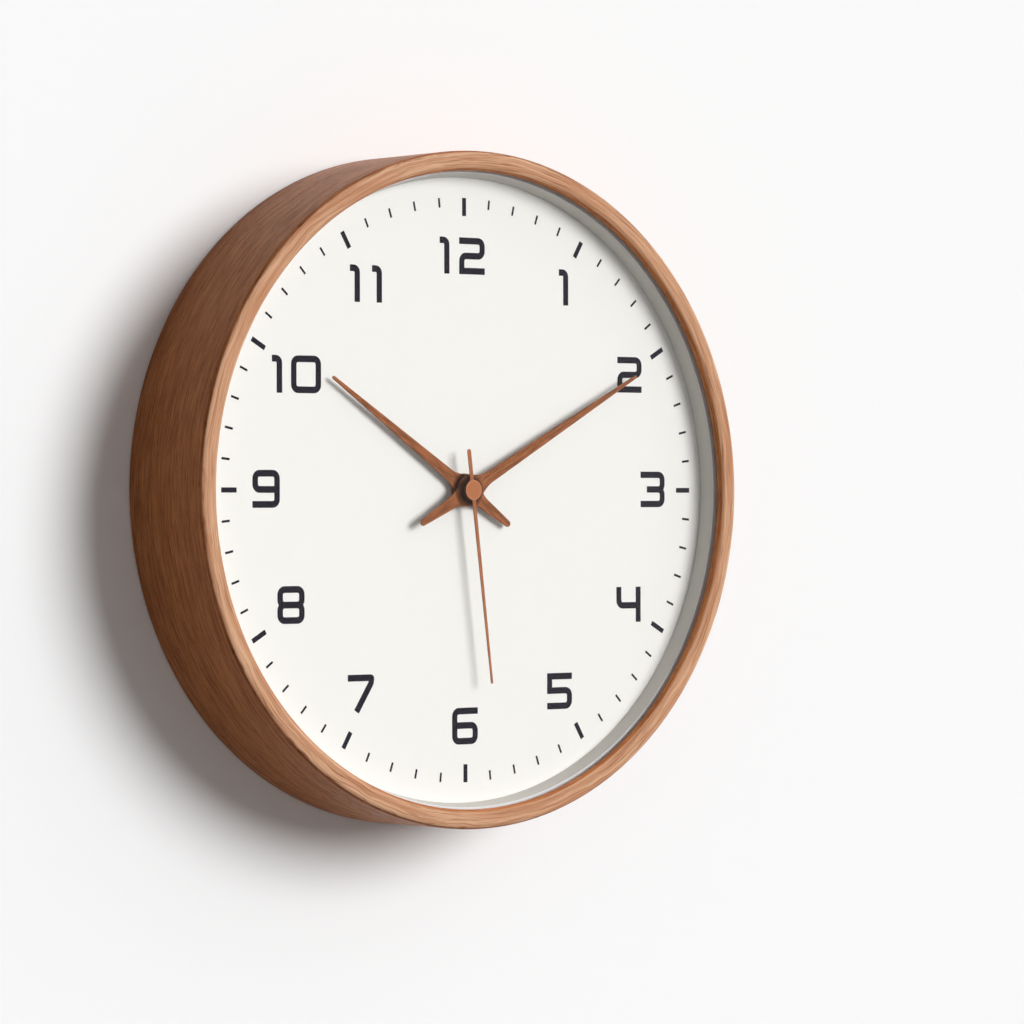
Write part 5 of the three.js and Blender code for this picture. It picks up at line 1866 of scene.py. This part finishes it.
def seen_rays(sheet):
    """1 for the rays that reach the camera straight, mirrored or through the lens, else 0."""
    rays = sheet.node("ShaderNodeLightPath")
    seen = sheet.math("MAXIMUM", sheet.wire(rays, "Is Camera Ray"), sheet.wire(rays, "Is Glossy Ray"))
    return sheet.math("MAXIMUM", seen, sheet.wire(rays, "Is Transmission Ray"))


def backdrop_paint(sheet):
    """Plain pale paint. From behind it lets the view through, so that the rear can be seen."""
    studio = settings().studio
    base = studio.wall_colour
    tooth = sheet.noise(sheet.place(), 3.0, 2.0)
    seen = seen_rays(sheet)
    plain = sheet.between(tooth * 0.02, base, scaled(base, 0.98))
    z = sheet.parts(sheet.place())[2]
    low = sheet.clear(FLOOR_FADE - studio.floor_drop, -studio.floor_drop, z)
    paint = sheet.surface(
        Base_Color=sheet.between(seen, scaled(base, studio.wall_bounce), plain),
        Roughness=0.9,
        Specular_IOR_Level=0.0,
        Emission_Color=sheet.between(low * seen * studio.floor_lift, (0.0, 0.0, 0.0), base),
        Emission_Strength=1.0,
    )
    open_side = sheet.get("ShaderNodeBsdfTransparent", {}, {"Color": (1.0, 1.0, 1.0)})
    behind = sheet.get("ShaderNodeNewGeometry", {}, {}, "Backfacing")
    return sheet.get("ShaderNodeMixShader", {}, {0: behind, 1: paint, 2: open_side})


def backdrop_mesh(studio):
    """A wall with an opening behind the case, a cove and a floor, as one sheet."""
    depth = layer("case_ring")[1] + studio.wall_gap
    side = WALL_HALF_WIDTH
    foot = COVE - studio.floor_drop
    work = bmesh.new()
    wall = [(-side, foot), (side, foot), (side, WALL_TOP), (-side, WALL_TOP)]
    places, cells = flat_region([wall], [circle(studio.wall_opening, WALL_OPENING_STEPS)])
    corners = [work.verts.new((place.x, depth, place.y)) for place in places]
    for cell in cells:
        work.faces.new([corners[i] for i in cell])
    rows = []
    for i in range(COVE_STEPS + 1):
        angle = FULL_TURN / 4 * i / COVE_STEPS
        y = depth - COVE * (1 - math.cos(angle))
        z = foot - COVE * math.sin(angle)
        rows.append([work.verts.new((x, y, z)) for x in (-side, side)])
    rows.append([work.verts.new((x, FLOOR_FRONT, foot - COVE)) for x in (-side, side)])
    for first, second in zip(rows, rows[1:]):
        work.faces.new((first[0], second[0], second[1], first[1]))
    aim = Vector((0.0, -1.0, 1.0))
    work.normal_update()
    for face in work.faces:
        if face.normal.dot(aim) < 0:
            face.normal_flip()
    mesh = bpy.data.meshes.new("backdrop")
    work.to_mesh(mesh)
    work.free()
    mesh.shade_smooth()
    return mesh


def sun(name, strength, size, direction):
    """A large far light that shines from a direction. Glossy surfaces mirror only the pale studio."""
    light = bpy.data.lights.new(name, "SUN")
    light.energy = strength
    light.angle = size
    made = new_object(name, light)
    made.visible_glossy = False
    made.rotation_euler = Vector(direction).to_track_quat("Z", "Y").to_euler()
    made.location = Vector(direction) * LIGHT_DISTANCE


def add_lights(studio):
    """The large soft light from the front right, and two weaker ones."""
    side, height = studio.key_from_right, studio.key_height
    key = (
        math.sin(side) * math.cos(height), -math.cos(side) * math.cos(height), math.sin(height),
    )
    sun("key light", studio.key_strength, studio.key_size, key)
    sun("upper light", studio.upper_strength, UPPER_LIGHT_SIZE, UPPER_LIGHT_FROM)
    sun("rear light", studio.rear_strength, REAR_LIGHT_SIZE, REAR_LIGHT_FROM)


def new_world(studio):
    """Weak light from all sides, which the camera, mirrors and the lens see at full strength."""
    world = bpy.data.worlds.new("studio")
    world.use_nodes = True
    world.node_tree.nodes.clear()
    sheet = Sheet(world.node_tree)
    level = studio.sky_strength + seen_rays(sheet) * (1.0 - studio.sky_strength)
    sky = sheet.get(
        "ShaderNodeBackground", {}, {"Color": studio.wall_colour, "Strength": level},
    )
    sheet.node("ShaderNodeOutputWorld", {}, {"Surface": sky})
    return world


def new_camera():
    lens = bpy.data.cameras.new("camera")
    lens.lens = CAMERA_LENS
    lens.sensor_width = CAMERA_SENSOR
    lens.clip_start = CAMERA_NEAR
    lens.clip_end = CAMERA_FAR
    camera = new_object("camera", lens)
    camera.location = CAMERA_PLACE
    camera.rotation_euler = Euler([math.radians(part) for part in CAMERA_TURN], "XYZ")
    return camera


class WALLCLOCK_OT_stage(bpy.types.Operator):
    """Makes the wall, the floor, the lights and the camera"""

    bl_idname = "wall_clock.stage"
    bl_label = "Stage"

    def execute(self, context):
        studio = settings().studio
        scene = context.scene
        material = finish("stage paint", backdrop_paint)
        new_piece("backdrop", backdrop_mesh(studio), material)
        add_lights(studio)
        scene.world = new_world(studio)
        scene.view_settings.view_transform = "Standard"
        scene.camera = new_camera()
        return {"FINISHED"}


PIECES = (
    WALLCLOCK_OT_drum,
    WALLCLOCK_OT_lens,
    WALLCLOCK_OT_spacer,
    WALLCLOCK_OT_dial,
    WALLCLOCK_OT_minute_marks,
    WALLCLOCK_OT_numerals,
    WALLCLOCK_OT_hands,
    WALLCLOCK_OT_second_hand,
    WALLCLOCK_OT_centre_fittings,
    WALLCLOCK_OT_hoop,
    WALLCLOCK_OT_hanger,
    WALLCLOCK_OT_movement,
    WALLCLOCK_OT_battery,
    WALLCLOCK_OT_finishes,
    WALLCLOCK_OT_stage,
)


class WALLCLOCK_PT_sidebar(bpy.types.Panel):
    """Lists the clock's pieces and sizes"""

    bl_idname = "WALLCLOCK_PT_sidebar"
    bl_label = "Wall clock"
    bl_space_type = "VIEW_3D"
    bl_region_type = "UI"
    bl_category = "Wall clock"

    def draw(self, context):
        layout = self.layout
        for piece in PIECES:
            layout.operator(piece.bl_idname)
        root = settings()
        for group in (root.case, root.dial, root.hands, root.rear, root.colours, root.studio):
            box = layout.box()
            for name in group.__annotations__:
                box.prop(group, name)


GROUPS = (
    ClockCaseSizes, ClockDialSizes, ClockHandSizes, ClockRearSizes, ClockColours, ClockStudio,
    ClockSettings,
)


def register():
    for group in GROUPS:
        bpy.utils.register_class(group)
    bpy.types.Scene.wall_clock = PointerProperty(type=ClockSettings)
    for piece in PIECES:
        bpy.utils.register_class(piece)
    bpy.utils.register_class(WALLCLOCK_PT_sidebar)


def unregister():
    bpy.utils.unregister_class(WALLCLOCK_PT_sidebar)
    for piece in reversed(PIECES):
        bpy.utils.unregister_class(piece)
    del bpy.types.Scene.wall_clock
    for group in reversed(GROUPS):
        bpy.utils.unregister_class(group)


def main():
    register()
    for piece in PIECES:
        group, name = piece.bl_idname.split(".")
        getattr(getattr(bpy.ops, group), name)()


if __name__ == "__main__":
    main()
